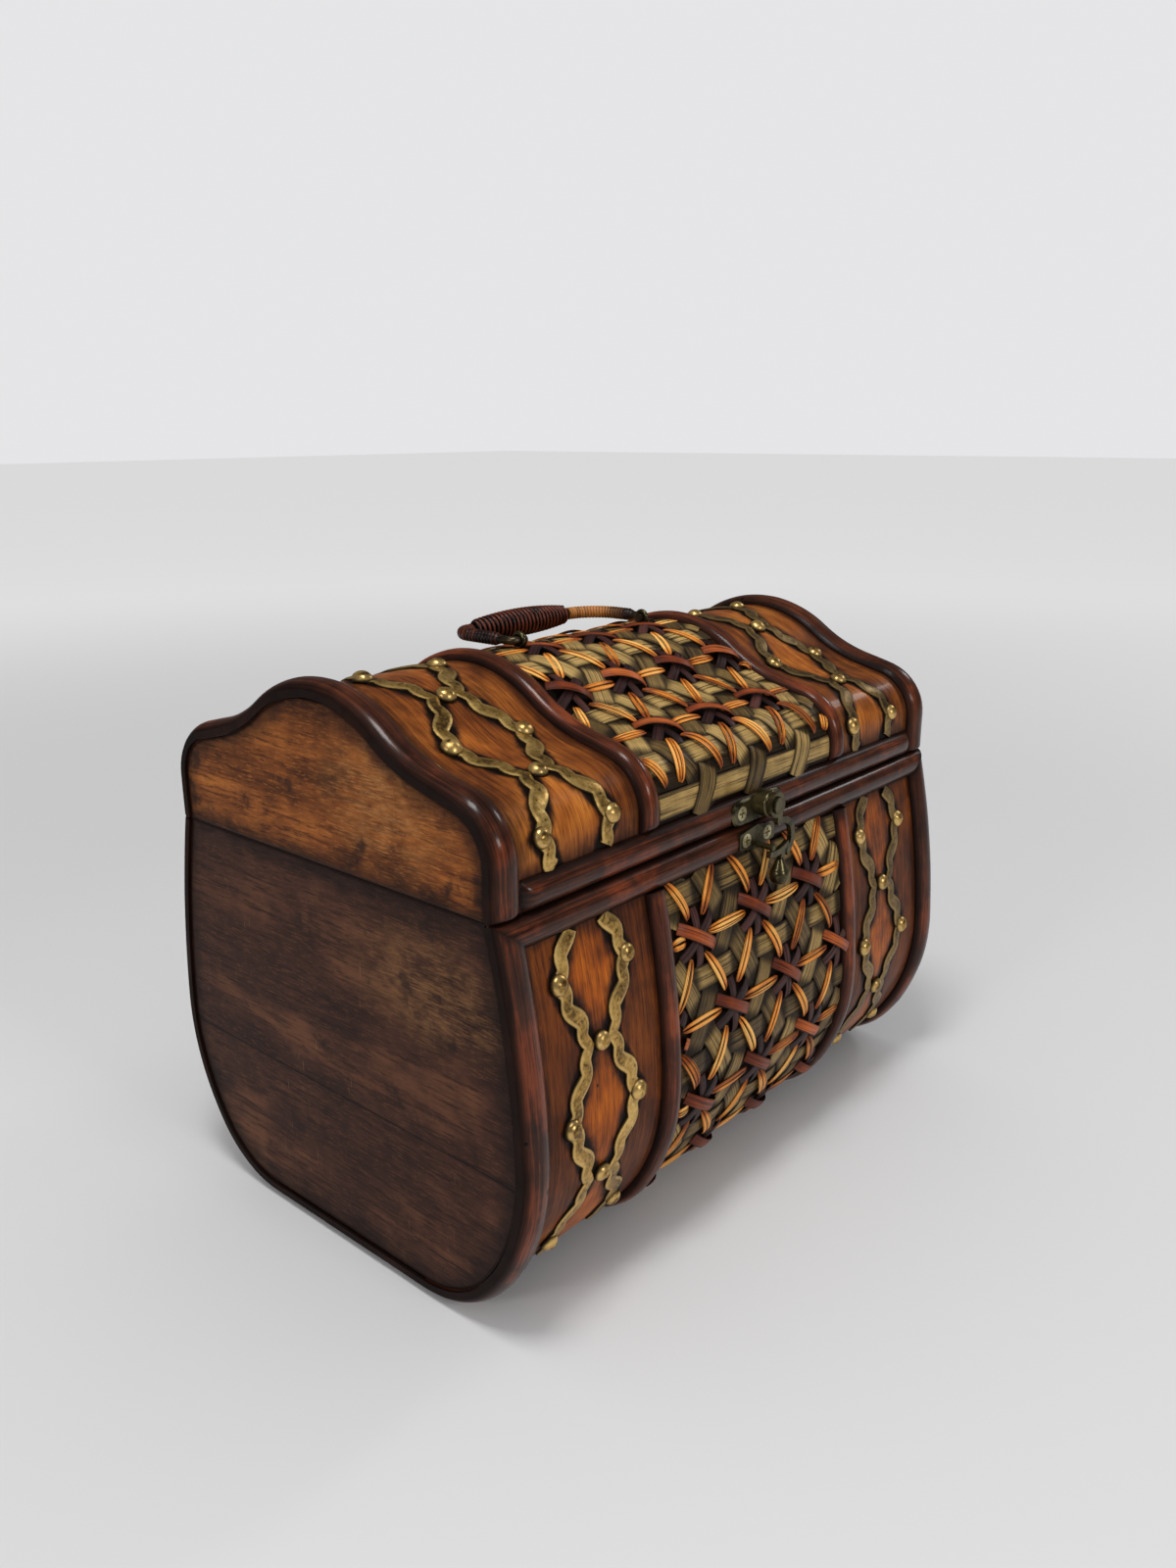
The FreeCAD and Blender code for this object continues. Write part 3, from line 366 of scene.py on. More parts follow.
def lid_outline():
    dome_radius, hollow_radius, corner_radius = 58.0, 77.7, 20.8
    dome, slope, up = math.radians(35.9), math.radians(14.4), math.radians(90)
    across = dome_radius * math.sin(dome) + hollow_radius * (math.sin(dome) - math.sin(slope))
    across += corner_radius * (1 - math.sin(slope))
    shoulder = (half_mouth - across) / math.cos(slope)
    drop = dome_radius * (1 - math.cos(dome)) + hollow_radius * (math.cos(slope) - math.cos(dome))
    drop += shoulder * math.sin(slope) + corner_radius * math.cos(slope)
    steps = [(dome_radius, up, up - dome, 0), (-hollow_radius, up - dome, up - slope, 0),
             (0, up - slope, up - slope, shoulder), (corner_radius, up - slope, 0, 0),
             (0, 0, 0, lid_height - drop)]
    return Outline(lid_top, -1, steps)


def body_outline():
    belly_radius, foot_radius = 87.6, 45.9
    rim, wall_turn, belly_turn = math.radians(14.2), math.radians(12.2), math.radians(39.6)
    wall = rim - wall_turn
    belly = wall - belly_turn
    drop = belly_radius * (math.sin(wall) - math.sin(belly)) + foot_radius * (math.sin(belly) + 1)
    wall_radius = (body_height - drop) / (math.sin(rim) - math.sin(wall))
    flat = half_mouth + wall_radius * (math.cos(wall) - math.cos(rim))
    flat += belly_radius * (math.cos(belly) - math.cos(wall)) - foot_radius * math.cos(belly)
    down = math.radians(-90)
    steps = [(0, down, down, flat), (foot_radius, down, belly, 0), (belly_radius, belly, wall, 0),
             (wall_radius, wall, rim, 0)]
    return Outline(base_height, 1, steps), flat


lid = lid_outline()
body, flat_half = body_outline()


# Bent panels: sheets of stained and varnished wood, bent over the end boards and nailed down. The stain
# is burnt dark beside the brass straps and along the beading, and worn to orange between them. A thin line
# of soot and painted shade lies right at the straps' edges, and under the woven band the wood is painted
# near-black as shade. Inside the chest they are bare.
panel_thickness = 2.4
panel_reach = 148.65
rib_outer = 72.2
edge_bead_inner = 136.3
rail_width = 11.5
strap_left, strap_right = -105.8, 101.2
strap_swing = 18.2
strap_pinch = 5.9
strap_drop = 28.9
body_pitch = 54.2
lid_pitch = 51.1
panel_gap = 0.05
# Distance from a strap's middle over which its line of soot and painted shade fades out.
strap_soot_and_shade = (3.8 * MM, 6.6 * MM)
weave_side = (60 * MM, 63 * MM)
right_bay = (60 * MM, 66 * MM)
right_halo = 3.5 * MM
border_fade = (-1 * MM, 10 * MM)
# Near-black for soot, painted shade and pin holes in the bent panels.
soot_and_shade_black = dye(12, 7, 5)


def closed_sheet(name, layers, chart, mark=None, inside=0):
    """Joins an outer and an inner grid into a closed sheet. A point of a grid is its place, its two chart
    numbers and its mark; inside is the material slot of the inner grid."""
    rows, columns = len(layers[0]), len(layers[0][0])
    cells = [cell for layer in layers for row in layer for cell in row]
    faces, kinds = [], []

    def quad(kind, *corners):
        faces.append(tuple((layer * rows + i) * columns + j for layer, i, j in corners))
        kinds.append(kind)

    for i in range(rows - 1):
        for j in range(columns - 1):
            quad(0, (0, i, j), (0, i, j + 1), (0, i + 1, j + 1), (0, i + 1, j))
            quad(inside, (1, i, j), (1, i + 1, j), (1, i + 1, j + 1), (1, i, j + 1))
        for j in (0, columns - 1):
            quad(0, (0, i, j), (0, i + 1, j), (1, i + 1, j), (1, i, j))
    for j in range(columns - 1):
        for i in (0, rows - 1):
            quad(0, (0, i, j), (1, i, j), (1, i, j + 1), (0, i, j + 1))
    charted = (chart, [(cell[1] * MM, cell[2] * MM) for cell in cells])
    marks = {mark: [cell[3] * MM for cell in cells]} if mark else None
    return solid(name, [cell[0] for cell in cells], faces, 40, charted, marks, kinds)


def bent_sheet(name, outline, start, stop, step=3.0, columns=36):
    """A closed bent sheet with a chart of x and the place along the outline."""
    rows = int(abs(stop - start) / step) + 1
    xs = [panel_reach * (2 * j / columns - 1) for j in range(columns + 1)]
    runs = [start + (stop - start) * i / rows for i in range(rows + 1)]
    lifts = (0, -panel_thickness)
    layers = [[[(outline.lay(x, s, lift), x, s) for x in xs] for s in runs] for lift in lifts]
    return closed_sheet(name, layers, "bay", inside=1)


def bay_wood(name, first, pitch, rim_end, halo, outside, tones):
    """Varnished bay wood. The zigzag of the straps starts at first and repeats each pitch."""
    wood = Finish(name, coat_roughness=0.1, coat_ior=1.32, specular_ior_level=0.08)
    chart = wood.chart("bay")
    x = wood.part(chart, 0)
    s = abs(wood.part(chart, 1))
    warp = (wood.grit(chart, 150, 3) - 0.5) * (5 * MM)
    middle = (strap_right - strap_left) / 2 * MM
    uneven = (strap_right + strap_left) / 2 * MM
    bay_x = abs(abs(x) - (x.math("SIGN") * uneven + middle))
    turn = (s - first * MM).swing(pitch / 2 * MM) / (pitch / 2 * MM)
    strip = turn * ((strap_pinch - strap_swing) * MM) + strap_swing * MM
    off = abs(bay_x - strip) + warp
    outer = (bay_x - strip).fade(1 * MM, 6 * MM)
    wide = x.fade(*right_bay) * outer * right_halo + halo * MM
    # Soot and painted shade in a thin line at the straps' edges, and painted shade, near-black, under the
    # woven band.
    soot_and_shade = (1 - off.fade(*strap_soot_and_shade)).most((1 - abs(x).fade(*weave_side)) * 0.9)
    beside = 1 - off.fade(4.4 * MM, wide + 4.8 * MM)
    edges = (abs(x) - rib_outer * MM).least(edge_bead_inner * MM - abs(x)) + warp
    rail = (rim_end * MM - s) + warp
    border = (1 - edges.fade(*border_fade)).most(1 - rail.fade(*border_fade))
    fibres = wood.fibre(chart, (620, 26, 1), 5, 0.72)
    pores = wood.fibre(chart, (1500, 90, 1), 2, 0.6, shift=(2, 2, 0))
    cloud = wood.grit(chart, 26, 3, 0.55, 0.4)
    blot = wood.fibre(chart, (60, 28, 1), 4, 0.6, shift=(3, 1, 0))
    pale, warm, brown, deep = tones
    honey = wood.ramp(cloud * 0.6 + fibres * 0.4, (0.32, deep), (0.43, brown), (0.53, warm), (0.66, pale))
    streaks = wood.mix(pores.fade(0.5, 0.66) * 0.5, honey, deep)
    stained = wood.mix(blot.fade(0.5, 0.68) * 0.6, streaks, dye(54, 26, 14))
    holes = 1 - wood.cells(wood.scaled(chart, (36, 30, 1), (0.3, 0.6, 0))).fade(0.022, 0.04)
    stained = wood.mix(holes, stained, soot_and_shade_black)
    dark = beside.most(border).most(outer * (cloud * 0.5 + blot * 0.5).fade(0.3, 0.46) * outside)
    umber = wood.mix(fibres.fade(0.4, 0.6), dye(30, 14, 8), dye(58, 29, 16))
    burnt = wood.mix(soot_and_shade * 0.95, wood.mix(dark * 0.9, stained, umber), soot_and_shade_black)
    gloss = fibres * 0.15 + 0.25 + dark * 0.2
    bumps = wood.relief(fibres * 0.8 + pores * 0.5 + wood.grit(chart, 14, 2) * 3 - holes, 0.6, 0.25)
    return wood.wear(colour=burnt, roughness=gloss, normal=bumps, coat=0.16 - soot_and_shade * 0.14)


body_wood = bay_wood("body_bay_wood", body.half - strap_drop, body_pitch, body.half - rail_width, 4.8, 0.7,
                     (dye(206, 112, 24), dye(156, 77, 17), dye(100, 47, 14), dye(50, 23, 9)))
lid_wood = bay_wood("lid_bay_wood", 0, lid_pitch, lid.half - rail_width, 3.6, 0.3,
                    (dye(196, 120, 48), dye(150, 82, 30), dye(98, 50, 21), dye(50, 25, 12)))
bare = Finish("bare_wood", roughness=0.6, specular_ior_level=0.1)
bare_chart = bare.chart("bay")
bare_grain = bare.fibre(bare_chart, (500, 24, 1), 5, 0.65)
bare_tone = bare.ramp(bare_grain * 0.6 + bare.grit(bare_chart, 20, 3) * 0.4, (0.36, dye(70, 42, 26)),
                      (0.64, dye(134, 88, 52)))
bare_wood = bare.wear(colour=bare_tone, normal=bare.relief(bare_grain, 0.5, 0.2))
sheets = [("bent_front", body, -flat_half - panel_gap, -body.half, body_wood, "chest", "body_front_panel"),
          ("bent_back", body, flat_half + panel_gap, body.half, body_wood, "chest", "body_back_panel"),
          ("bent_lid", lid, -lid.half, lid.half, lid_wood, "lid", "lid_shell")]
for name, outline, start, stop, wood, owner, node in sheets:
    sheet = bent_sheet(name, outline, start, stop)
    sheet.data.materials.append(wood)
    sheet.data.materials.append(bare_wood)
    stand_for(sheet, owner, node)


# End boards and bottom: flat boards of the same stain, rubbed dark by age at their edges, with painted
# shade added along those edges. The lid's board stays orange; the body's boards are nearly black with
# one paler worn patch towards the front.
board_face = 149.0
board_thickness = 8.0
board_inset = 2.7
board_joint = 68.0
board_samples = 90
board_columns = 30
board_ridge = 0.5
level_room, joint_room = 0.4, 1
joint_weight, no_joint = 12, 99


def end_board(name, outline, side, low, high):
    """A flat board inside the outline, with each point's distance to the board's edge."""
    start = flat_half if outline is body else board_ridge
    samples = [start + (outline.half - start) * i / board_samples for i in range(board_samples + 1)]
    rim = sorted((p.z, p.y) for p in (outline.lay(0, s, -board_inset) for s in samples))
    levels = [low] + [z for z, y in rim if low + level_room < z < high - level_room] + [high]

    def half_width(z):
        for (z0, y0), (z1, y1) in zip(rim, rim[1:]):
            if z0 <= z <= z1:
                return y0 + (y1 - y0) * (z - z0) / max(z1 - z0, 1e-6)
        return rim[0][1] if z < rim[0][0] else rim[-1][1]

    edge_line = [Vector((half_width(z), z)) for z in levels]
    layers = []
    for x in (side * board_face, side * (board_face - board_thickness)):
        layer = []
        for z in levels:
            row = []
            joint = abs(z - board_joint) * joint_weight if outline is body else no_joint
            rims = min(abs(z - end) for end in (low, high) if abs(end - board_joint) > joint_room)
            for j in range(board_columns + 1):
                y = half_width(z) * (2 * j / board_columns - 1)
                near = min((Vector((abs(y), z)) - p).length for p in edge_line)
                row.append((Vector((x, y, z)), y, z, min(near, joint, rims)))
            layer.append(row)
        layers.append(layer)
    return closed_sheet(name, layers, "board", "edge")


def board_wood(name, tones, patch, patch_place, patch_size, dirt):
    """Board wood with an edge mark. The patch is rubbed paler; dirt is the share of dark blots."""
    wood = Finish(name, coat_weight=0.04, coat_roughness=0.2, coat_ior=1.4, specular_ior_level=0.08)
    place = wood.place()
    light, middle, dark = tones
    tilt = (math.radians(7), 0, 0)
    fibres = wood.fibre(place, (300, 40, 620), 6, 0.75, 0.4, turn=tilt)
    flecks = wood.fibre(place, (300, 170, 1500), 3, 0.7, shift=(1, 1, 1), turn=tilt)
    bands = wood.fibre(place, (40, 9, 50), 4, 0.6, 0.8, (2, 3, 1), tilt)
    cloud = wood.grit(place, 30, 5, 0.65)
    base = wood.ramp(bands * 0.55 + cloud * 0.45, (0.36, dark), (0.5, middle), (0.62, light))
    fine = wood.mix(fibres.fade(0.48, 0.6) * 0.8, base, dark)
    fine = wood.mix(flecks.fade(0.54, 0.64) * 0.5, fine, light)
    grime_and_shade = wood.grit(wood.scaled(place, (1, 1, 1.5), (5, 5, 5)), 60, 5, 0.7)
    spread = wood.node("ShaderNodeVectorMath", {"operation": "DISTANCE"},
                       {0: wood.scaled(place, patch_size), 1: patch_place}, "Value")
    rough = (grime_and_shade * 0.35 + flecks * 0.35 + fibres * 0.3).fade(0.42, 0.6)
    worn = wood.mix((1 - spread.fade(0.1, 1.1)) * rough * 0.6, fine, patch)
    blots = wood.grit(wood.moved(place, 9, 2, 4), 55, 4, 0.65).fade(0.57, 0.7)
    worn = wood.mix(blots * dirt, worn, dye(36, 22, 18))
    scratch = wood.fibre(place, (200, 1500, 60), 2, 0.5, shift=(3, 3, 3), turn=(math.radians(-12), 0, 0))
    worn = wood.mix(scratch.fade(0.72, 0.76) * 0.3, worn, dye(168, 130, 92))
    edge = wood.mark("edge")
    # Darker within about a centimetre of the edge, from age and soot with painted shade; the seam is a dark
    # joint line.
    rim = 1 - (edge + (grime_and_shade - 0.5) * (16 * MM)).fade(-1 * MM, 11 * MM)
    seam = 1 - edge.fade(0.1 * MM, 1.6 * MM)
    burnt = wood.mix((rim * 0.8).most(seam * 0.97), worn, dye(22, 12, 9))
    bumps = wood.relief(fibres * 0.6 + flecks * 0.3 + cloud + edge.fade(0, 1.2 * MM) * 4, 0.6, 0.25)
    return wood.wear(colour=burnt, roughness=fibres * 0.2 + 0.45, normal=bumps)


lid_board = board_wood("lid_board_wood", (dye(172, 104, 46), dye(124, 69, 30), dye(66, 34, 16)),
                       dye(176, 122, 70), (0, -0.9, 5.5), (0, 24, 28), 0.75)
body_board = board_wood("body_board_wood", (dye(98, 62, 42), dye(66, 39, 29), dye(40, 23, 18)),
                        dye(146, 104, 64), (0, -1.1, 4.7), (0, 19, 36), 0.7)
boards = [("lid_end", lid, lid_foot, lid_top - board_inset, lid_board, "lid"),
          ("body_end_upper", body, board_joint + panel_gap, rim_height, body_board, "chest"),
          ("body_end_lower", body, base_height + board_inset, board_joint, body_board, "chest")]
for kind, outline, low, high, material, owner in boards:
    for side, sign in (("left", -1), ("right", 1)):
        node = kind.replace("end", f"end_{side}")
        board = end_board(f"board_{node}", outline, sign, low, high)
        board.data.materials.append(material)
        stand_for(board, owner, node)
dress(body_board, "body_bottom_board")


# Half-round beading: split cane stained red-brown and varnished, worn to red where hands rub it. It runs
# round both ends and beside the woven band, and along the rims, where the body's corners are mitred.
bead_height = 4.5
bead_side = 0.9
bead_sink = 0.1
bead_rows = 13
edge_bead_width = 13.7
edge_bead_middle = 143.15
rib_width = 10.2
rib_middle = 67.1
lip_depth = 2.0
lip_share = 0.82
joint_gap = 0.15
mitre_room = 30.0
notch_step = 0.02
blunt_shares = (0, 0.05, 0.2, 0.45, 0.75, 1)
blunt_rise = 0.3
bead_dip = 0.3


def bead_section(width, lip):
    """Points of the section from its outer foot over the crown: share across, and lift."""
    rise = bead_height - bead_side
    radius = (rise ** 2 + (width / 2) ** 2) / (2 * rise)
    section = [(-1, -max(lip, bead_sink))]
    for i in range(bead_rows):
        share = 2 * i / (bead_rows - 1) - 1
        section.append((share, bead_height - radius + math.sqrt(radius ** 2 - (share * width / 2) ** 2)))
    section.append((1, -bead_sink))
    if lip:
        section += [(-lip_share, -bead_sink), (-lip_share, -lip)]
    return section


def bead(name, spot, width, reach, step, wood, owner, blunt=0.0, mitre=0.0, lip=0.0, notches=()):
    """A bead from -reach to reach. Its ends are blunted round, or mitred longer on the outer side."""
    section = bead_section(width, lip)
    count = int(2 * reach / step)
    runs = {-reach + 2 * reach * i / count for i in range(1, count)}
    for place, half, face in notches:
        runs |= {place + end * half + turn for end in (-1, 1) for turn in (-notch_step, notch_step)}
    for share in blunt_shares:
        runs |= {reach - share * blunt, share * blunt - reach}
    points, places, crowns, ends = [], [], [], []
    for run in sorted(runs):
        near_end = reach - abs(run)
        hollow = 1 - min(near_end / blunt, 1) if blunt else 0
        rise = max(math.sqrt(1 - hollow ** 2), blunt_rise)
        for share, lift in section:
            slant = mitre * (1 - share) / 2 * max(0, 1 - near_end / mitre_room)
            dip = bead_dip * abs(noise.noise(Vector((run * 0.04, share * 0.6, width))))
            height = lift * rise - dip if lift > bead_side else lift
            points.append(spot(share, run + math.copysign(slant, run), height))
            places.append((share * width / 2 * MM, run * MM))
            crowns.append(1 - abs(share) if lift > 0 else 0)
            ends.append(near_end * MM)
    faces = tube(0, len(runs), len(section))
    piece = solid(f"beading_{name}", points, faces, 40, ("run", places), {"crown": crowns, "end": ends})
    piece.data.materials.append(wood)
    stand_for(piece, owner, name)


def outline_spot(outline, side, middle, width):
    """Places along the outline; the outer side of the bead has the share -1."""
    def spot(share, run, lift):
        at = outline.lay(side * (middle - share * width / 2), run, lift)
        at.z = max(at.z, 0)
        return at
    return spot


def rail_spot(outline, side, notches):
    """Places along a rim; the upper side has the share -1. Notches seat the plates and the hinges."""
    middle, out = outline.look(0, side * (outline.half - rail_width / 2))
    up = out.cross(Vector((1, 0, 0))) * -side

    def spot(share, run, lift):
        at = middle - up * (share * rail_width / 2) + out * lift
        if outline is body:
            at.z = min(at.z, rim_height)
        for place, half, face in notches:
            if abs(run - place) < half:
                at.y = side * min(abs(at.y), face)
        return at + Vector((run, 0, 0))
    return spot


def beading(name, tones):
    """Varnished cane with its grain along the bead, darkened by painted shade on its flanks and in the
    corners beside it, and dark at its joints.
    """
    wood = Finish(name, coat_roughness=0.16, coat_ior=1.32, specular_ior_level=0.08)
    chart = wood.chart("run")
    place = wood.place()
    crown = wood.mark("crown").fade(0.0, 0.5)
    corner = 1 - wood.mark("end").fade(0, 4 * MM)
    grain = wood.fibre(chart, (620, 15, 1), 4, 0.7, 0.3)
    pores = wood.fibre(chart, (1600, 60, 1), 2, 0.6, shift=(2, 1, 0))
    cloud = wood.grit(place, 38, 4, 0.6)
    rub = wood.grit(wood.moved(place, 7, 2, 4), 26, 4, 0.6)
    red, warm, brown, deep = tones
    base = wood.ramp(cloud * 0.45 + grain * 0.55, (0.38, deep), (0.5, brown), (0.62, warm))
    rubbed = wood.mix((rub * 0.75 + grain * 0.25).fade(0.5, 0.62) * crown * 0.7, base, red)
    rubbed = wood.mix(pores.fade(0.5, 0.64) * 0.6, rubbed, deep)
    holes = 1 - wood.cells(wood.moved(place, 0.004, 0.009, 0.002), 42).fade(0.03, 0.05)
    # Painted shade on the flanks away from the crown; the ends add dark joints and the cells pin holes.
    shade = ((1 - crown) * 0.85).most(corner * 0.75).most(holes)
    dark = wood.mix(shade, rubbed, dye(15, 8, 6))
    bumps = wood.relief(grain * 0.8 + cloud - holes, 0.5, 0.25)
    return wood.wear(colour=dark, roughness=grain * 0.2 + 0.24 + shade * 0.3, normal=bumps,
                     coat=crown * 0.6)


deep_red = (dye(128, 60, 31), dye(94, 49, 29), dye(62, 32, 20), dye(32, 15, 10))
soft_red = (dye(140, 68, 36), dye(102, 50, 29), dye(72, 35, 20), dye(38, 18, 12))
rail_wood = beading("rail_wood", deep_red)
rib_wood = beading("rib_wood", soft_red)
body_reach = body.half - rail_width - joint_gap
hinge_notches = [(-92.0, 14.5, 94.3), (92.0, 14.5, 94.3)]
latch_notch, catch_notch = (0.0, 18.45, 93.5), (-2.5, 12.65, 95.0)
rib_reach = lid.half - rail_width - joint_gap
rail_reach = 150.0 - rail_width
for hand, side in (("left", -1), ("right", 1)):
    edge = (side, edge_bead_middle, edge_bead_width)
    rib = (side, rib_middle, rib_width)
    bead(f"body_edge_bead_{hand}", outline_spot(body, *edge), edge_bead_width, body_reach, 2.6, rail_wood,
         "chest", mitre=rail_width, lip=lip_depth)
    bead(f"lid_edge_bead_{hand}", outline_spot(lid, *edge), edge_bead_width, lid.half, 2.6, rail_wood,
         "lid", blunt=2.6, lip=lip_depth)
    bead(f"body_rib_{hand}", outline_spot(body, *rib), rib_width, body_reach, 2.6, rib_wood, "chest")
    bead(f"lid_rib_{hand}", outline_spot(lid, *rib), rib_width, rib_reach, 2.6, rib_wood, "lid", blunt=3.6)
for face, side, lid_notches, body_notches in (("front", -1, [latch_notch], [catch_notch]),
                                              ("back", 1, hinge_notches, hinge_notches)):
    bead(f"lid_rail_{face}", rail_spot(lid, side, lid_notches), rail_width, edge_bead_inner - joint_gap,
         4.0, rail_wood, "lid", blunt=5.5, notches=lid_notches)
    bead(f"body_rail_{face}", rail_spot(body, side, body_notches), rail_width, rail_reach, 4.0,
         rail_wood, "chest", mitre=rail_width, notches=body_notches)


# Woven band: flat strips of split cane in three directions over and under each other, which leave open
# stars. Dyed strips cross in each star under an arched red one, and pairs of bright split cane run from
# star to star.
weave_reach = 61.9
weave_top = rail_width - 1
shortest_run, shortest_dyed = 6, 5
plain_kind, red_kind, dark_kind, bright_kind = range(4)    # places in cane_finishes
fibre_shift, fibre_step = 0.9, 0.0012    # where a strip's fibres start, and their step for each ring
edge_drop = 0.3

# A lattice is the place of one star, the step from star to star along a row, and that between rows.
body_lattice = (Vector((-5.2, 36.0)), 41.0, 35.2)
lid_lattice = (Vector((1.9, 73.2)), 35.2, 34.6)
star_lines, star_columns = range(-8, 9), range(-4, 5)
star_stray = (0.6, 0.5)
every_row, lid_last_row = 999, 95

plain_width, plain_spread = 10.6, (-0.7, 0.5)
plain_thickness = 0.42
plain_level, plain_wave, plain_ripple = 0.62, 0.36, 0.14
plain_lines = range(-9, 10)
plain_stray = 0.5
plain_step = 1.3
border_start, no_border = 97.0, 999
border_rise = 5.0
border_lifts = (0.4, 0.25, 1.45)
border_place = 107.0
border_width, border_gap = 9.8, 0.4
border_run = range(-61, 62)
border_over, border_under = (0.85, 0.7), (0.1, 0.3)

# A dark strip is its turn and the spread of turns, half its length, its width, foot and rise.
dark_strips = ((90, 6, 12.0, 4.3, 0.6, 1.2), (-32, 5, 12.5, 4.5, 0.7, 1.6))
dark_fullness, red_fullness = 4, 2.4
red_turn, red_spread = 32, 4
red_width, red_foot = 4.9, 0.9
red_reach, lid_red_reach = 12.8, 10.6
red_rise, ridge_red_rise = 3.6, 1.6
ridge_red_room = 14.0
arch_steps = 17
dyed_thickness = 0.45

pair_lanes = ((-0.5, 0.5), (-0.5, 0.5), (-1, 0, 1))
pair_thickness = 0.4
pair_width, lane_fill = (4.2, 5.2), (0.8, 0.96)
pair_bend = 0.6
pair_foot = 0.8
pair_rises = (0.85, 1.15)
pair_tones = 0.25
level_end, slant_end = 7.7, 9.0
low_rise, high_rise = 0.9, 2.2
ridge_room, ridge_share = 22.0, 0.4


class Strips:
    """Collects flat strips, laid on an outline in a band from low to high, into one mesh."""

    def __init__(self, outline, place_of, low, high):
        self.outline = outline
        self.place_of = place_of
        self.low = low
        self.high = high
        self.points = []
        self.faces = []
        self.chart = []
        self.kinds = []
        self.marks = {"tone": [], "end": [], "side": [], "lift": []}

    def ribbon(self, centres, width, thickness, tone, kind, crown=0.12, across=5):
        """A closed strip along centres, which hold x, down and lift; width may follow the strip."""
        count = len(centres)
        faces = tube(len(self.points), count, across * 2)
        run = random.random() * fibre_shift
        for i, (x, down, lift) in enumerate(centres):
            before, after = centres[max(i - 1, 0)], centres[min(i + 1, count - 1)]
            heading = Vector((after[0] - before[0], after[1] - before[1])).normalized()
            side = Vector((-heading.y, heading.x))
            half = (width(i / (count - 1)) if callable(width) else width) / 2
            for layer in (1, 0):
                for j in range(across):
                    share = (2 * j / (across - 1) - 1) * (-1 if layer else 1)
                    at = lift + crown * (1 - share * share) + (thickness if layer else 0)
                    if layer and j in (0, across - 1):
                        at -= thickness * edge_drop
                    place = self.place_of(down + side.y * half * share)
                    self.points.append(self.outline.lay(x + side.x * half * share, place, at))
                    self.chart.append((half * share * MM, run + i * fibre_step))
                    for key, value in (("tone", tone), ("end", abs(2 * i / (count - 1) - 1)),
                                       ("side", abs(share)), ("lift", lift)):
                        self.marks[key].append(value)
        self.faces += faces
        self.kinds += [kind] * len(faces)

    def finish(self, name, materials):
        piece = solid(name, self.points, self.faces, 50, ("strip", self.chart), self.marks, self.kinds)
        for material in materials:
            piece.data.materials.append(material)
        return piece


def clipped(basket, point, heading):
    """The run of a slanted line that lies inside the woven band."""
    spans = []
    for at, step, least, most in ((point.x, heading.x, -weave_reach, weave_reach),
                                  (point.y, heading.y, basket.low, basket.high)):
        if abs(step) < 1e-6:
            if not least <= at <= most:
                return None
            continue
        a, b = (least - at) / step, (most - at) / step
        spans.append((min(a, b), max(a, b)))
    start, stop = max(a for a, b in spans), min(b for a, b in spans)
    return (start, stop) if stop - start > shortest_run else None


def direction(degrees):
    return Vector((math.cos(math.radians(degrees)), math.sin(math.radians(degrees))))


def flat_wave(phase):
    """A wave with long flats, from -1 to 1."""
    level = max(-1.0, min(1.0, 1.5 * math.cos(phase)))
    return math.sin(level * math.pi / 2)


def plain_strips(basket, lattice, border):
    """Three families of plain strips. Each lies over the family before it and under the next; past the
    border the second family dives under the border strip and the third lies over it."""
    anchor, step, row = lattice
    slant = Vector((step / 2, row))
    families = [Vector((1, 0)), slant.normalized(), Vector((-slant.x, slant.y)).normalized()]
    gaps = [row, step * families[1].y, step * families[1].y]
    periods = [step, slant.length, slant.length]
    for family, heading in enumerate(families):
        normal = Vector((-heading.y, heading.x))
        beaten = (family + 2) % 3
        other = Vector((-families[beaten].y, families[beaten].x))
        for line in plain_lines:
            offset = (line + 0.5) * gaps[family]
            start_point = anchor + normal * offset
            run = clipped(basket, start_point, heading)
            if not run:
                continue
            crossing = (gaps[beaten] / 2 - offset * normal.dot(other)) / heading.dot(other)
            tone = random.random()
            shift = random.uniform(-plain_stray, plain_stray)
            count = int((run[1] - run[0]) / plain_step) + 2
            centres = []
            for i in range(count):
                t = run[0] + (run[1] - run[0]) * i / (count - 1)
                at = start_point + heading * t + normal * shift
                wave = flat_wave(2 * math.pi * (t - crossing) / periods[family])
                ripple = plain_ripple * noise.noise(Vector((t * 0.13, line * 3.7, family * 9.1)))
                past = max(0, min(1, (abs(at.y) - border) / border_rise))
                level = plain_level + plain_wave * wave + ripple
                centres.append((at.x, at.y, level + (border_lifts[family] - level) * past))
            width = plain_width + random.uniform(*plain_spread)
            basket.ribbon(centres, width, plain_thickness, tone, plain_kind)


def star_points(basket, lattice):
    """Places of the star lattice in and around the band."""
    anchor, step, row = lattice
    found = []
    for line in star_lines:
        for column in star_columns:
            x = anchor.x + (column + 0.5 * (line % 2)) * step
            down = anchor.y + line * row
            if abs(x) < weave_reach + step and basket.low - step < down < basket.high + step:
                stray = [random.uniform(-most, most) for most in star_stray]
                found.append(Vector((x + stray[0], down + stray[1])))
    return found


def dyed_strip(basket, point, heading, half, width, foot, rise, fullness, kind):
    """A short dyed strip that arches over a star and dives under the plain strips."""
    run = clipped(basket, point, heading)
    if not run:
        return
    start, stop = max(-half, run[0]), min(half, run[1])
    if stop - start < shortest_dyed:
        return
    centres = []
    for i in range(arch_steps):
        t = start + (stop - start) * i / (arch_steps - 1)
        at = point + heading * t
        centres.append((at.x, at.y, foot + rise * (1 - abs(t / half) ** fullness)))
    basket.ribbon(centres, width, dyed_thickness, random.random(), kind, 0.14, 4)


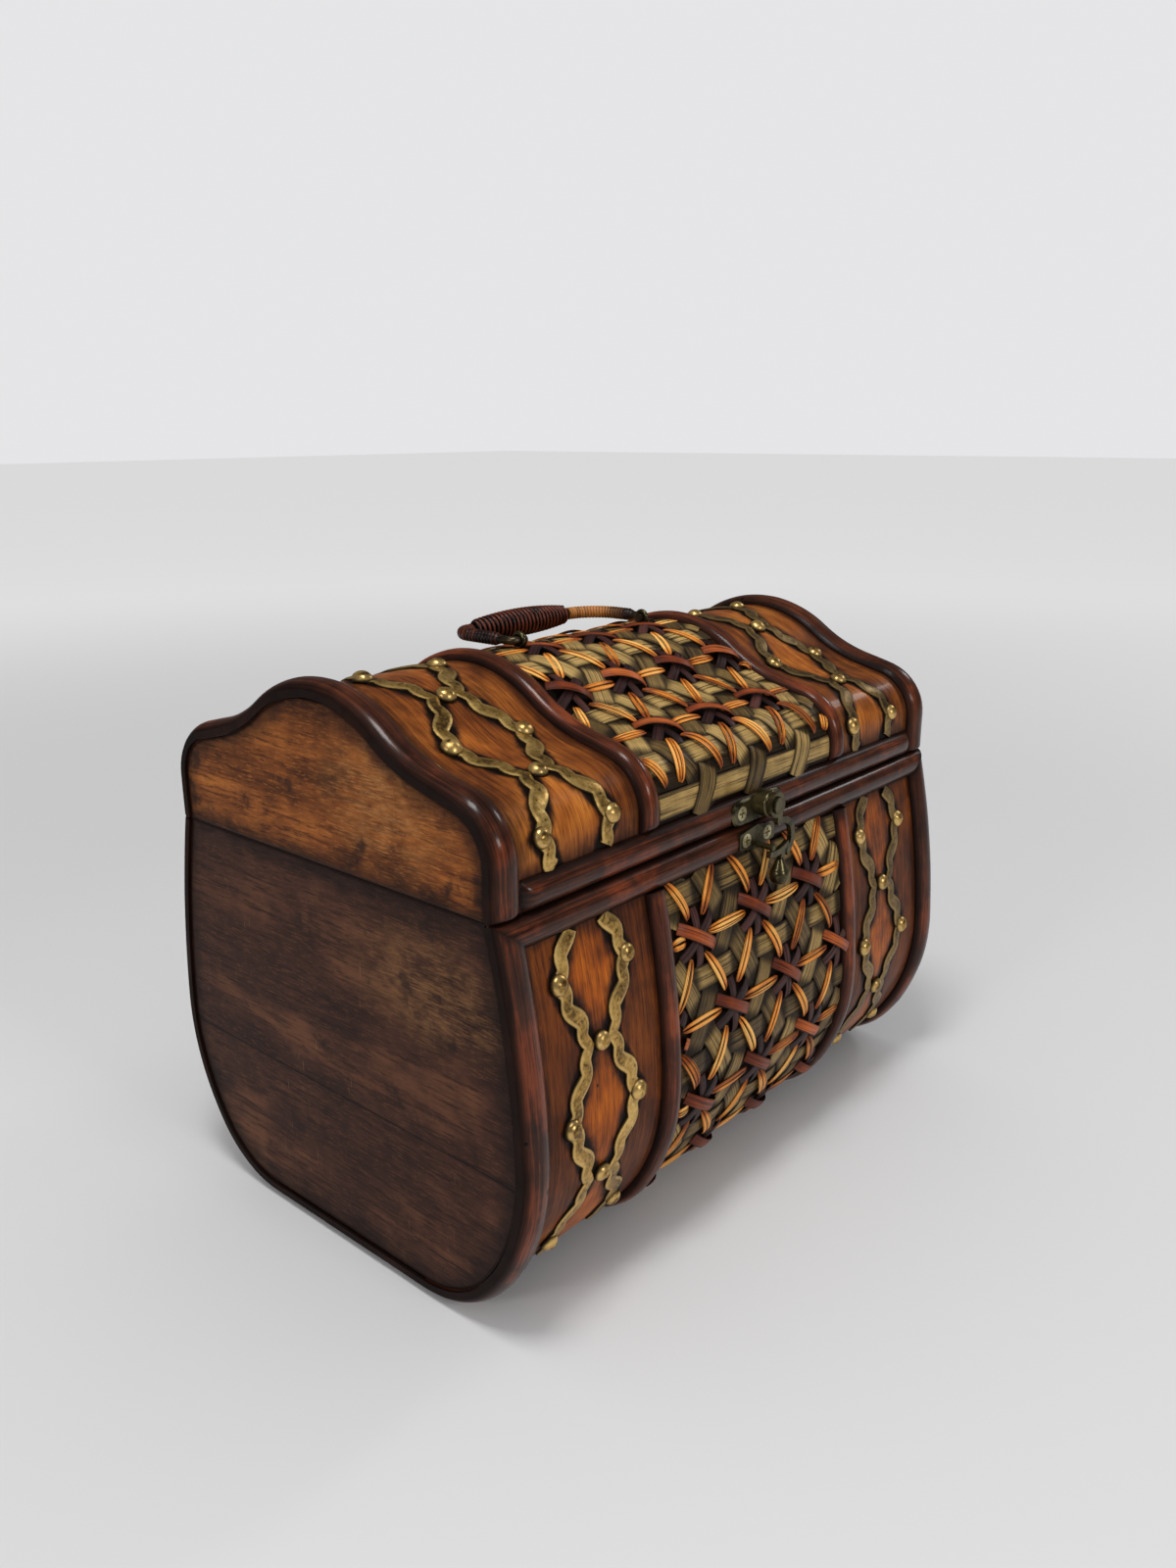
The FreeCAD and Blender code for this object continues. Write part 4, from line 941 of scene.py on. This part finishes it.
def bright_pair(basket, start, stop, rise, ends):
    """Split canes side by side between two stars, with pointed ends."""
    heading = stop - start
    length = heading.length
    heading = heading.normalized()
    side = Vector((-heading.y, heading.x))
    run = clipped(basket, start, heading)
    if not run:
        return
    first, last = max(ends, run[0]), min(length - ends, run[1])
    if last - first < shortest_run:
        return
    lanes = random.choice(pair_lanes)
    whole = random.uniform(*pair_width)
    bend = random.uniform(-pair_bend, pair_bend)
    height = rise * random.uniform(*pair_rises)
    tone = random.random()
    for lane in lanes:
        width = whole / len(lanes) * random.uniform(*lane_fill)
        centres = []
        for i in range(arch_steps):
            share = i / (arch_steps - 1)
            belly = 4 * share * (1 - share)
            reach = lane * whole / len(lanes) * (0.4 + 0.75 * belly ** 0.5) + bend * belly
            at = start + heading * (first + (last - first) * share) + side * reach
            centres.append((at.x, at.y, pair_foot + height * belly ** 0.7))

        def slim(share, width=width):
            return width * (0.3 + 0.7 * (4 * share * (1 - share)) ** 0.5)

        lane_tone = tone + random.uniform(-pair_tones, pair_tones)
        basket.ribbon(centres, slim, pair_thickness, lane_tone, bright_kind, 0.22, 4)


def cane(name, tones, gloss, burnt, sunk, outline):
    """Split cane: fine fibres along the strip, burnt at its ends, with painted shade where it dives, and
    dirt and painted shade at its sides.
    """
    skin = Finish(name, coat_weight=0.06, coat_roughness=0.2, coat_ior=1.4, specular_ior_level=0.14)
    pale, middle, dark, streak = tones
    chart = skin.chart("strip")
    tone = skin.mark("tone")
    fibres = skin.fibre(chart, (1100, 26, 1), 4, 0.7)
    cloud = skin.grit(chart, 90, 3, 0.6)
    level = fibres * 0.45 + tone * 0.26 + cloud * 0.28 - skin.mark("end").fade(0.35, 1.0) * burnt
    base = skin.ramp(level, (0.32, dark), (0.47, middle), (0.62, pale))
    lines = skin.fibre(chart, (1500, 14, 1), 3, 0.6, shift=(4, 4, 0))
    split = skin.mix(lines.fade(0.54, 0.6) * 0.9, base, streak)
    # Painted shade where the strip sinks under the others, and dirt with painted shade along its edges.
    depth = 1 - skin.mark("lift").fade(0.3, 0.85)
    grime_and_shade = (depth * sunk).most(skin.mark("side").fade(0.62, 1.0) * outline)
    shaded_and_dirty = skin.mix(grime_and_shade, split, dye(22, 14, 9))
    bumps = skin.relief(fibres + lines * -1.4, 0.8, 0.25)
    return skin.wear(colour=shaded_and_dirty, roughness=fibres * 0.2 + gloss + grime_and_shade * 0.2, normal=bumps)


plain_tones = (dye(182, 150, 90), dye(122, 97, 54), dye(62, 47, 25), dye(26, 17, 9))
red_tones = (dye(186, 96, 44), dye(140, 64, 30), dye(86, 36, 20), dye(50, 22, 14))
dark_tones = (dye(84, 48, 42), dye(54, 30, 28), dye(28, 16, 15), dye(14, 8, 8))
bright_tones = (dye(250, 188, 100), dye(224, 136, 48), dye(142, 70, 24), dye(74, 35, 13))
cane_finishes = [cane("plain_cane", plain_tones, 0.34, 0, 0.9, 0.9),
                 cane("red_cane", red_tones, 0.26, 0.1, 0.5, 0.6),
                 cane("dark_cane", dark_tones, 0.34, 0, 0.5, 0.7),
                 cane("bright_cane", bright_tones, 0.24, 0.2, 0.4, 0.5)]


def woven_bay(name, outline, place_of, lattice, low, high, last_row, owner, replaced):
    basket = Strips(outline, place_of, low, high)
    plain_strips(basket, lattice, border_start if outline is lid else no_border)
    if outline is lid:
        for down in (-border_place, border_place):
            inner = down - math.copysign(border_width + border_gap, down)
            for place, (lift, tone) in ((down, border_over), (inner, border_under)):
                centres = [(x, place, lift) for x in border_run]
                basket.ribbon(centres, border_width, plain_thickness, tone, plain_kind)
    step, row = lattice[1:]
    ways = ((Vector((step, 0)), level_end, low_rise), (Vector((step / 2, row)), slant_end, high_rise),
            (Vector((-step / 2, row)), slant_end, low_rise))
    points = star_points(basket, lattice)
    for point in points:
        for way, ends, rise in ways:
            if abs(point.y) < last_row or (way.y and abs(point.y + way.y) < last_row):
                on_ridge = outline is lid and abs(point.y + way.y / 2) < ridge_room
                bright_pair(basket, point, point + way, rise * (ridge_share if on_ridge else 1), ends)
    stars = [p for p in points if abs(p.y) < last_row]
    for point in stars:
        for turn, spread, half, width, foot, rise in dark_strips:
            heading = direction(turn + random.uniform(-spread, spread))
            dyed_strip(basket, point, heading, half, width, foot, rise, dark_fullness, dark_kind)
    reach = red_reach if outline is body else lid_red_reach
    for point in stars:
        rise = ridge_red_rise if outline is lid and abs(point.y) < ridge_red_room else red_rise
        heading = direction(red_turn + random.uniform(-red_spread, red_spread))
        dyed_strip(basket, point, heading, reach, red_width, red_foot, rise, red_fullness, red_kind)
    stand_for(basket.finish(name, cane_finishes), owner, replaced)


random.seed(7)
body_bay = (body_lattice, weave_top, body.half - flat_half, every_row, "chest")
woven_bay("weave_front", body, lambda down: down - body.half, *body_bay, "body_weave_front")
woven_bay("weave_back", body, lambda down: body.half - down, *body_bay, "body_weave_back")
woven_bay("weave_lid", lid, lambda down: -down, lid_lattice, weave_top - lid.half, lid.half - weave_top,
          lid_last_row, "lid", "lid_weave")


# Brass straps: strips of thin brass sheet cut in waves, hammered, their edges rolled down. Two lie in a
# zigzag in each bay, pinched where they turn; soot and stain have gathered beside them, with painted shade
# at their edges. Their rims carry a painted highlight.
strap_width = 6.8
strap_wave = 1.7
strap_thickness = 0.75
strap_lift = 0.08
strap_stray = (0.7, 0.9)
strap_steps = 22
strap_gap = 0.15
strap_tail = 14.0


def hammered_brass(name, pale, middle, dark, smooth):
    """Dented brass. The side mark runs from 0 in the middle to 1 at the rim, which is bent down and carries
    a painted highlight, and is darkened at its very edge by smoke and painted shade.
    """
    brass = Finish(name, metallic=0.82)
    place = brass.place()
    dents = brass.cells(place, 190)
    cloud = brass.grit(place, 75, 4, 0.6)
    fine = brass.grit(place, 700, 3, 0.6)
    base = brass.ramp(cloud * 0.65 + fine * 0.35, (0.38, dark), (0.5, middle), (0.64, pale))
    spots = brass.grit(brass.moved(place, 3, 3, 3), 420, 2, 0.5)
    tarnish = brass.mix(spots.fade(0.6, 0.7) * 0.75, base, dye(58, 40, 20))
    side = brass.mark("side")
    # A painted highlight along the rim, then soot and painted shade at its very edge.
    rim_highlighted = brass.mix(side.fade(0.5, 0.7) * 0.6, tarnish, pale)
    soot_and_shade = side.fade(0.84, 0.98)
    sooty_and_shaded = brass.mix(soot_and_shade * 0.92, rim_highlighted, dye(24, 15, 9))
    bumps = brass.relief(dents * 0.9 + fine * 0.25 + cloud * 1.5, 0.4, 0.5)
    return brass.wear(colour=sooty_and_shaded, roughness=cloud * 0.3 + smooth + soot_and_shade * 0.3, normal=bumps)


bright_brass = hammered_brass("hammered_brass", dye(228, 190, 116), dye(178, 140, 72), dye(98, 72, 36), 0.2)
dull_brass = hammered_brass("dull_brass", dye(166, 138, 88), dye(122, 97, 56), dye(66, 49, 27), 0.28)


def strap(strips, middle, side, first, pitch):
    """One zigzag strip through its turns; each run between two turns waves once to each side."""
    half_pitch = pitch / 2
    before = int((first - strips.low) / half_pitch) + 1
    after = int((strips.high - first) / half_pitch) + 1
    turns = []
    for i in range(-before, after + 1):
        swing = strap_swing if i % 2 == 0 else strap_pinch
        stray = Vector([random.uniform(-most, most) for most in strap_stray])
        turns.append(Vector((middle + side * swing, first + i * half_pitch)) + stray * (i % 2))
    centres, widths = [], []
    for a, b in zip(turns, turns[1:]):
        pinched = abs(a.x - middle) < abs(b.x - middle)
        heading = 1 if b.x > a.x else -1
        for i in range(strap_steps):
            share = i / strap_steps
            at = a.lerp(b, share)
            if not strips.low <= at.y <= strips.high:
                continue
            bulk = 0.45 + 0.55 * math.sin(math.pi * share)
            at.x += heading * strap_wave * math.sin(4 * math.pi * share) * bulk
            from_pinch = (share if pinched else 1 - share) * half_pitch
            waist = 0.66 + 0.34 * min(1, from_pinch / 6)
            centres.append((at.x, at.y, strap_lift))
            widths.append(strap_width * waist * (1 + 0.07 * math.sin(4 * math.pi * share + 1)))

    def width(share):
        return widths[round(share * (len(widths) - 1))]

    strips.ribbon(centres, width, strap_thickness, random.random(), 0, 0.35, 7)


def strap_piece(name, outline, middle, first, pitch, low, high, owner, brass):
    strips = Strips(outline, lambda s: s, low, high)
    for side in (-1, 1):
        strap(strips, middle, side, first, pitch)
    piece = strips.finish(name.replace("straps", "zigzags"), [brass])
    stand_for(piece, owner, name)


random.seed(11)
body_first = body.half - strap_drop
body_low, body_high = body_first - body_pitch * 2 - strap_tail, body.half - rail_width - strap_gap
lid_high = lid.half - rail_width - strap_gap
for bay, middle, brass in (("left", strap_left, bright_brass), ("right", strap_right, dull_brass)):
    strap_piece(f"lid_straps_{bay}", lid, middle, 0.0, lid_pitch, -lid_high, lid_high, "lid", brass)
    strap_piece(f"body_straps_back_{bay}", body, middle, body_first, body_pitch, body_low, body_high,
                "chest", brass)
    strap_piece(f"body_straps_front_{bay}", body, middle, -body_first, body_pitch, -body_high,
                -body_low, "chest", brass)


# Domed nails: brass heads stamped from sheet, each a little dented, driven through the straps' turns and
# between the two straps where they come close.
nail_radius = 4.1
nail_rise = 3.5
nail_lift = 0.15
nail_dent = 0.5
nail_sizes = (0.94, 1.06)


def nail_nodes():
    """Geometry Nodes: a dented dome on every point, turned to the point's outward direction."""
    group = bpy.data.node_groups.new("domed nails", "GeometryNodeTree")
    sockets = {}
    for name, kind in (("Points", "Geometry"), ("Radius", "Float"), ("Rise", "Float"), ("Dent", "Float"),
                       ("Seed", "Int"), ("Finish", "Material")):
        made = group.interface.new_socket(name, in_out="INPUT", socket_type=f"NodeSocket{kind}")
        sockets[name] = made.identifier
    group.interface.new_socket("Geometry", in_out="OUTPUT", socket_type="NodeSocketGeometry")
    build = Nodes(group)
    given = group.nodes.new("NodeGroupInput")

    def asked(name):
        return Value(build, given.outputs[name])

    ball = build.node("GeometryNodeMeshUVSphere", None, {"Segments": 22, "Rings": 14, "Radius": 1})
    place = build.node("GeometryNodeInputPosition")
    axes = [build.node("ShaderNodeSeparateXYZ", None, {0: place}, axis) for axis in range(3)]
    across = build.node("ShaderNodeVectorMath", {"operation": "LENGTH"},
                        {0: build.node("ShaderNodeCombineXYZ", None, {0: axes[0], 1: axes[1]})}, "Value")
    shaped = build.node("ShaderNodeCombineXYZ", None,
                        {0: axes[0] * asked("Radius"), 1: axes[1] * asked("Radius"),
                         2: axes[2].most(0) * asked("Rise")})
    marked = build.node("GeometryNodeStoreNamedAttribute", {"data_type": "FLOAT", "domain": "POINT"},
                        {"Geometry": ball, "Name": "side", "Value": across})
    dome = build.node("GeometryNodeSetPosition", None, {"Geometry": marked, "Position": shaped})
    out = build.node("GeometryNodeInputNamedAttribute", {"data_type": "FLOAT_VECTOR"}, {"Name": "out"},
                     "Attribute")
    turned = build.node("FunctionNodeAlignRotationToVector", {"axis": "Z"}, {"Vector": out})
    spread = build.node("GeometryNodeInstanceOnPoints", None,
                        {"Points": asked("Points"), "Instance": dome, "Rotation": turned})
    spin = build.node("FunctionNodeRandomValue", {"data_type": "FLOAT"},
                      {2: 0, 3: 2 * math.pi, "Seed": asked("Seed")}, 1)
    spins = build.node("ShaderNodeCombineXYZ", None, {2: spin})
    spun = build.node("GeometryNodeRotateInstances", None, {"Instances": spread, "Rotation": spins})
    size = build.node("FunctionNodeRandomValue", {"data_type": "FLOAT"},
                      {2: nail_sizes[0], 3: nail_sizes[1], "Seed": asked("Seed") + 5}, 1)
    sized = build.node("GeometryNodeScaleInstances", None, {"Instances": spun, "Scale": size})
    real = build.node("GeometryNodeRealizeInstances", None, {"Geometry": sized})
    lumps = build.node("ShaderNodeTexNoise", None, {"Scale": 380, "Detail": 1}) - 0.5
    outward = build.node("GeometryNodeInputNormal")
    push = build.node("ShaderNodeVectorMath", {"operation": "SCALE"},
                      {0: outward, "Scale": lumps * asked("Dent")})
    dented = build.node("GeometryNodeSetPosition", None, {"Geometry": real, "Offset": push})
    smooth = build.node("GeometryNodeSetShadeSmooth", None, {"Geometry": dented})
    coated = build.node("GeometryNodeSetMaterial", None, {"Geometry": smooth, "Material": asked("Finish")})
    end = group.nodes.new("NodeGroupOutput")
    group.links.new(coated.socket, end.inputs[0])
    return group, sockets


nail_group, nail_sockets = nail_nodes()
# On a nail's head the side mark runs from its top to its foot: a painted highlight ring on its flank, and
# soot and painted shade at its foot.
nail_brass = hammered_brass("nail_brass", dye(232, 194, 122), dye(180, 142, 76), dye(100, 74, 38), 0.18)


def nails(name, outline, places, seed, owner, replaced):
    spots = [outline.look(x, s, nail_lift) for x, s in places]
    mesh = bpy.data.meshes.new(name)
    mesh.from_pydata([tuple(point * MM) for point, out in spots], [], [])
    out_mark = mesh.attributes.new("out", "FLOAT_VECTOR", "POINT")
    out_mark.data.foreach_set("vector", [v for point, out in spots for v in out])
    piece = new_piece(name, mesh)
    modifier = piece.modifiers.new("nails", "NODES")
    modifier.node_group = nail_group
    given = {"Radius": nail_radius * MM, "Rise": nail_rise * MM, "Dent": nail_dent * MM, "Seed": seed,
             "Finish": nail_brass}
    for key, value in given.items():
        modifier[nail_sockets[key]] = value
    graph = bpy.context.evaluated_depsgraph_get()
    baked = bpy.data.meshes.new_from_object(piece.evaluated_get(graph))
    piece.modifiers.clear()
    piece.data = baked
    stand_for(piece, owner, replaced)


def nail_places(first, pitch, side_rows, middle_rows):
    places = []
    for middle in (strap_left, strap_right):
        places += [(middle + side * strap_swing, first + i * pitch) for i in side_rows for side in (-1, 1)]
        places += [(middle, first + (i + 0.5) * pitch) for i in middle_rows]
    return places


lid_places = nail_places(0.0, lid_pitch, (-2, -1, 0, 1, 2), (-2, -1, 0, 1))
back_places = nail_places(body_first, body_pitch, (0, -1, -2), (-1, -2))
nails("lid_nails", lid, lid_places, 3, "lid", "lid_studs")
nails("back_nails", body, back_places, 5, "chest", "body_studs_back")
nails("front_nails", body, [(x, -s) for x, s in back_places], 8, "chest", "body_studs_front")


# Latch, hinges, screws, eyes and the handle's wire: cast and stamped brass with a dark antique finish that
# is rubbed brighter in places. The shapes are the CAD's own.
def antique_brass(name, dark, bright, roughness):
    metal = Finish(name, metallic=0.9)
    place = metal.place()
    cloud = metal.grit(place, 120, 4, 0.6)
    fine = metal.grit(place, 1400, 2, 0.5)
    base = metal.ramp(cloud * 0.7 + fine * 0.3, (0.36, dark), (0.62, bright))
    bumps = metal.relief(cloud + fine * 0.3, 0.3, 0.3)
    return metal.wear(colour=base, roughness=cloud * 0.25 + roughness, normal=bumps)


antique = antique_brass("antique_brass", dye(40, 37, 25), dye(104, 95, 66), 0.16)
dress(antique, "latch_plate", "latch_post", "latch_hook", "catch_plate", "catch_pin",
      "hinge_body_leaves", "hinge_lid_leaves", "handle_eyes")
screw_metal = antique_brass("screw_brass", dye(140, 128, 90), dye(226, 214, 170), 0.2)
dress(screw_metal, "latch_screws", "catch_screws", "hinge_body_screws", "hinge_lid_screws")
wire = antique_brass("handle_wire", dye(56, 48, 38), dye(96, 84, 64), 0.25)
dress(wire, "handle_bail", "hinge_pins")


# Handle: a bent wire bail. Dark cord is wound over a barrel of padding at the grip, thin dark lace over
# the near leg, and fine cane over the far one, darker towards its eye.
pivot_height = lid_top + 4.6
leg_x = 44.6
leg_length = 34.7
near_bend = 7.5
far_bend = 17.0
grip_start, grip_stop = -36.5, 27.0
grip_radius, grip_end_radius = 6.4, 3.9
cord_thickness = 1.9
cord_turns = 24
cord_steps = 30
cord_margin = 2.5
cord_stray = 0.16
cord_gap = 0.1
wrap_start = 6.8
wrap_radius = 2.9
wrap_step = 0.22
wrap_thin, wrap_taper = 1.7, 0.35


def swept(name, middle_line, up, radius, sides, tones):
    """A closed round body along a line; radius and tones are functions of the ring and the angle."""
    points, marks = [], []
    count = len(middle_line)
    for i, at in enumerate(middle_line):
        ahead = (middle_line[min(i + 1, count - 1)] - middle_line[max(i - 1, 0)]).normalized()
        side = ahead.cross(up).normalized()
        over = side.cross(ahead)
        for j in range(sides):
            angle = 2 * math.pi * j / sides
            points.append(at + (side * math.cos(angle) + over * math.sin(angle)) * radius(i, angle))
            marks.append(tones(i, angle))
    return solid(name, points, tube(0, count, sides), 60, marks={"tone": marks})


def wind(piece, material, replaced):
    piece.data.materials.append(material)
    stand_for(piece, "handle", replaced)


def lace(name, pale, dark, roughness, sheen):
    skin = Finish(name, specular_ior_level=sheen)
    place = skin.place()
    cloud = skin.grit(place, 260, 4, 0.65)
    # The tone mark carries painted light: a painted highlight on each cord turn's crown, painted shade on
    # its flanks and in the wraps' grooves.
    base = skin.ramp(cloud * 0.5 + skin.mark("tone") * 0.5, (0.3, dark), (0.7, pale))
    bumps = skin.relief(cloud + skin.grit(place, 1500, 2, 0.5) * 0.4, 0.5, 0.3)
    return skin.wear(colour=base, roughness=cloud * 0.3 + roughness, normal=bumps)


dark_lace = lace("dark_lace", dye(102, 46, 27), dye(16, 8, 7), 0.2, 0.3)
# The grip's core is painted near-black as the shade seen between the cord's turns.
painted_shade_core = lace("grip_core", dye(24, 13, 10), dye(10, 6, 5), 0.6, 0.1)
gold_cane = lace("gold_cane", dye(184, 118, 56), dye(36, 20, 12), 0.25, 0.3)
up_z = Vector((0, 0, 1))
up_x = Vector((1, 0, 0))


def barrel(x):
    """Radius of the grip's padding."""
    half = (grip_stop - grip_start) / 2
    rise = grip_radius - grip_end_radius
    radius = (half ** 2 + rise ** 2) / (2 * rise)
    off = x - (grip_start + grip_stop) / 2
    return grip_radius - cord_thickness - radius + math.sqrt(max(radius ** 2 - off ** 2, 0))


core_line = [Vector((grip_start + (grip_stop - grip_start) * i / 40, leg_length, pivot_height))
             for i in range(41)]
wind(swept("grip_barrel", core_line, up_z, lambda i, angle: barrel(core_line[i].x) + cord_gap, 20,
           lambda i, angle: 0.5), painted_shade_core, "grip_padding")

cord_line = []
cord_room = grip_stop - grip_start - 2 * cord_margin
for i in range(cord_turns * cord_steps + 1):
    turn = i / cord_steps
    x = grip_start + cord_margin + cord_room * turn / cord_turns
    x += cord_stray * noise.noise(Vector((turn * 2.3, 4, 1)))
    reach = barrel(x) + cord_thickness / 2 + cord_gap
    angle = 2 * math.pi * turn
    cord_line.append(Vector((x, leg_length - reach * math.sin(angle),
                             pivot_height + reach * math.cos(angle))))
# Tone by angle: a painted highlight on each turn's outer crown and painted shade on its flanks, with some
# random tone.
wind(swept("grip_winding", cord_line, up_x, lambda i, angle: cord_thickness / 2 * 0.98, 8,
           lambda i, angle: 1.6 * math.cos(angle) - 0.75 + 0.5 * noise.noise(cord_line[i] * 0.25)),
     dark_lace, "grip_cord")


def bent_leg(side, bend, stop_x, step):
    """Middle line of the bail from the wrap's start on a leg, round its bend, to stop_x on the grip."""
    straight = leg_length - bend
    count = int((straight - wrap_start) / step)
    path = [Vector((side * leg_x, wrap_start + (straight - wrap_start) * i / count, pivot_height))
            for i in range(count + 1)]
    turns = int(bend * math.pi / 2 / step)
    for i in range(1, turns + 1):
        angle = math.pi / 2 * i / turns
        path.append(Vector((side * (leg_x - bend + bend * math.cos(angle)),
                            straight + bend * math.sin(angle), pivot_height)))
    last = path[-1].x
    count = max(int(abs(last - stop_x) / step), 1)
    path += [Vector((last + (stop_x - last) * i / count, leg_length, pivot_height))
             for i in range(1, count + 1)]
    return path


def turn_height(i, angle, pitch):
    """How far a wrap stands out there, from 0 between two turns to 1; the turns lean with the angle."""
    phase = (i * wrap_step / pitch + angle / (2 * math.pi)) % 1
    return math.sqrt(max(0, math.sin(math.pi * phase)))


def wrap(name, line, pitch, depth, tone, material, replaced):
    """A leg's winding, tapered where it starts at the eye, with painted shade in the grooves between its
    turns.
    """
    def radius(i, angle):
        full = min(wrap_radius, wrap_thin + i * wrap_step * wrap_taper)
        return full - depth + depth * turn_height(i, angle, pitch)

    def shade(i, angle):
        groove = 1 - turn_height(i, angle, pitch)
        return tone(i / len(line)) + 0.35 * noise.noise(line[i] * 0.32) - 0.9 * groove

    wind(swept(name, line, up_z, radius, 18, shade), material, replaced)


near_line = bent_leg(-1, near_bend, grip_start + 0.5, wrap_step)
far_line = bent_leg(1, far_bend, grip_stop + 0.15, wrap_step)
wrap("near_winding", near_line, 1.9, 0.45, lambda along: 0.3 + 0.6 * along ** 2, dark_lace,
     "handle_near_wrap")
wrap("far_winding", far_line, 1.6, 0.35, lambda along: min(0.85, 1.6 * along), gold_cane,
     "handle_far_wrap")
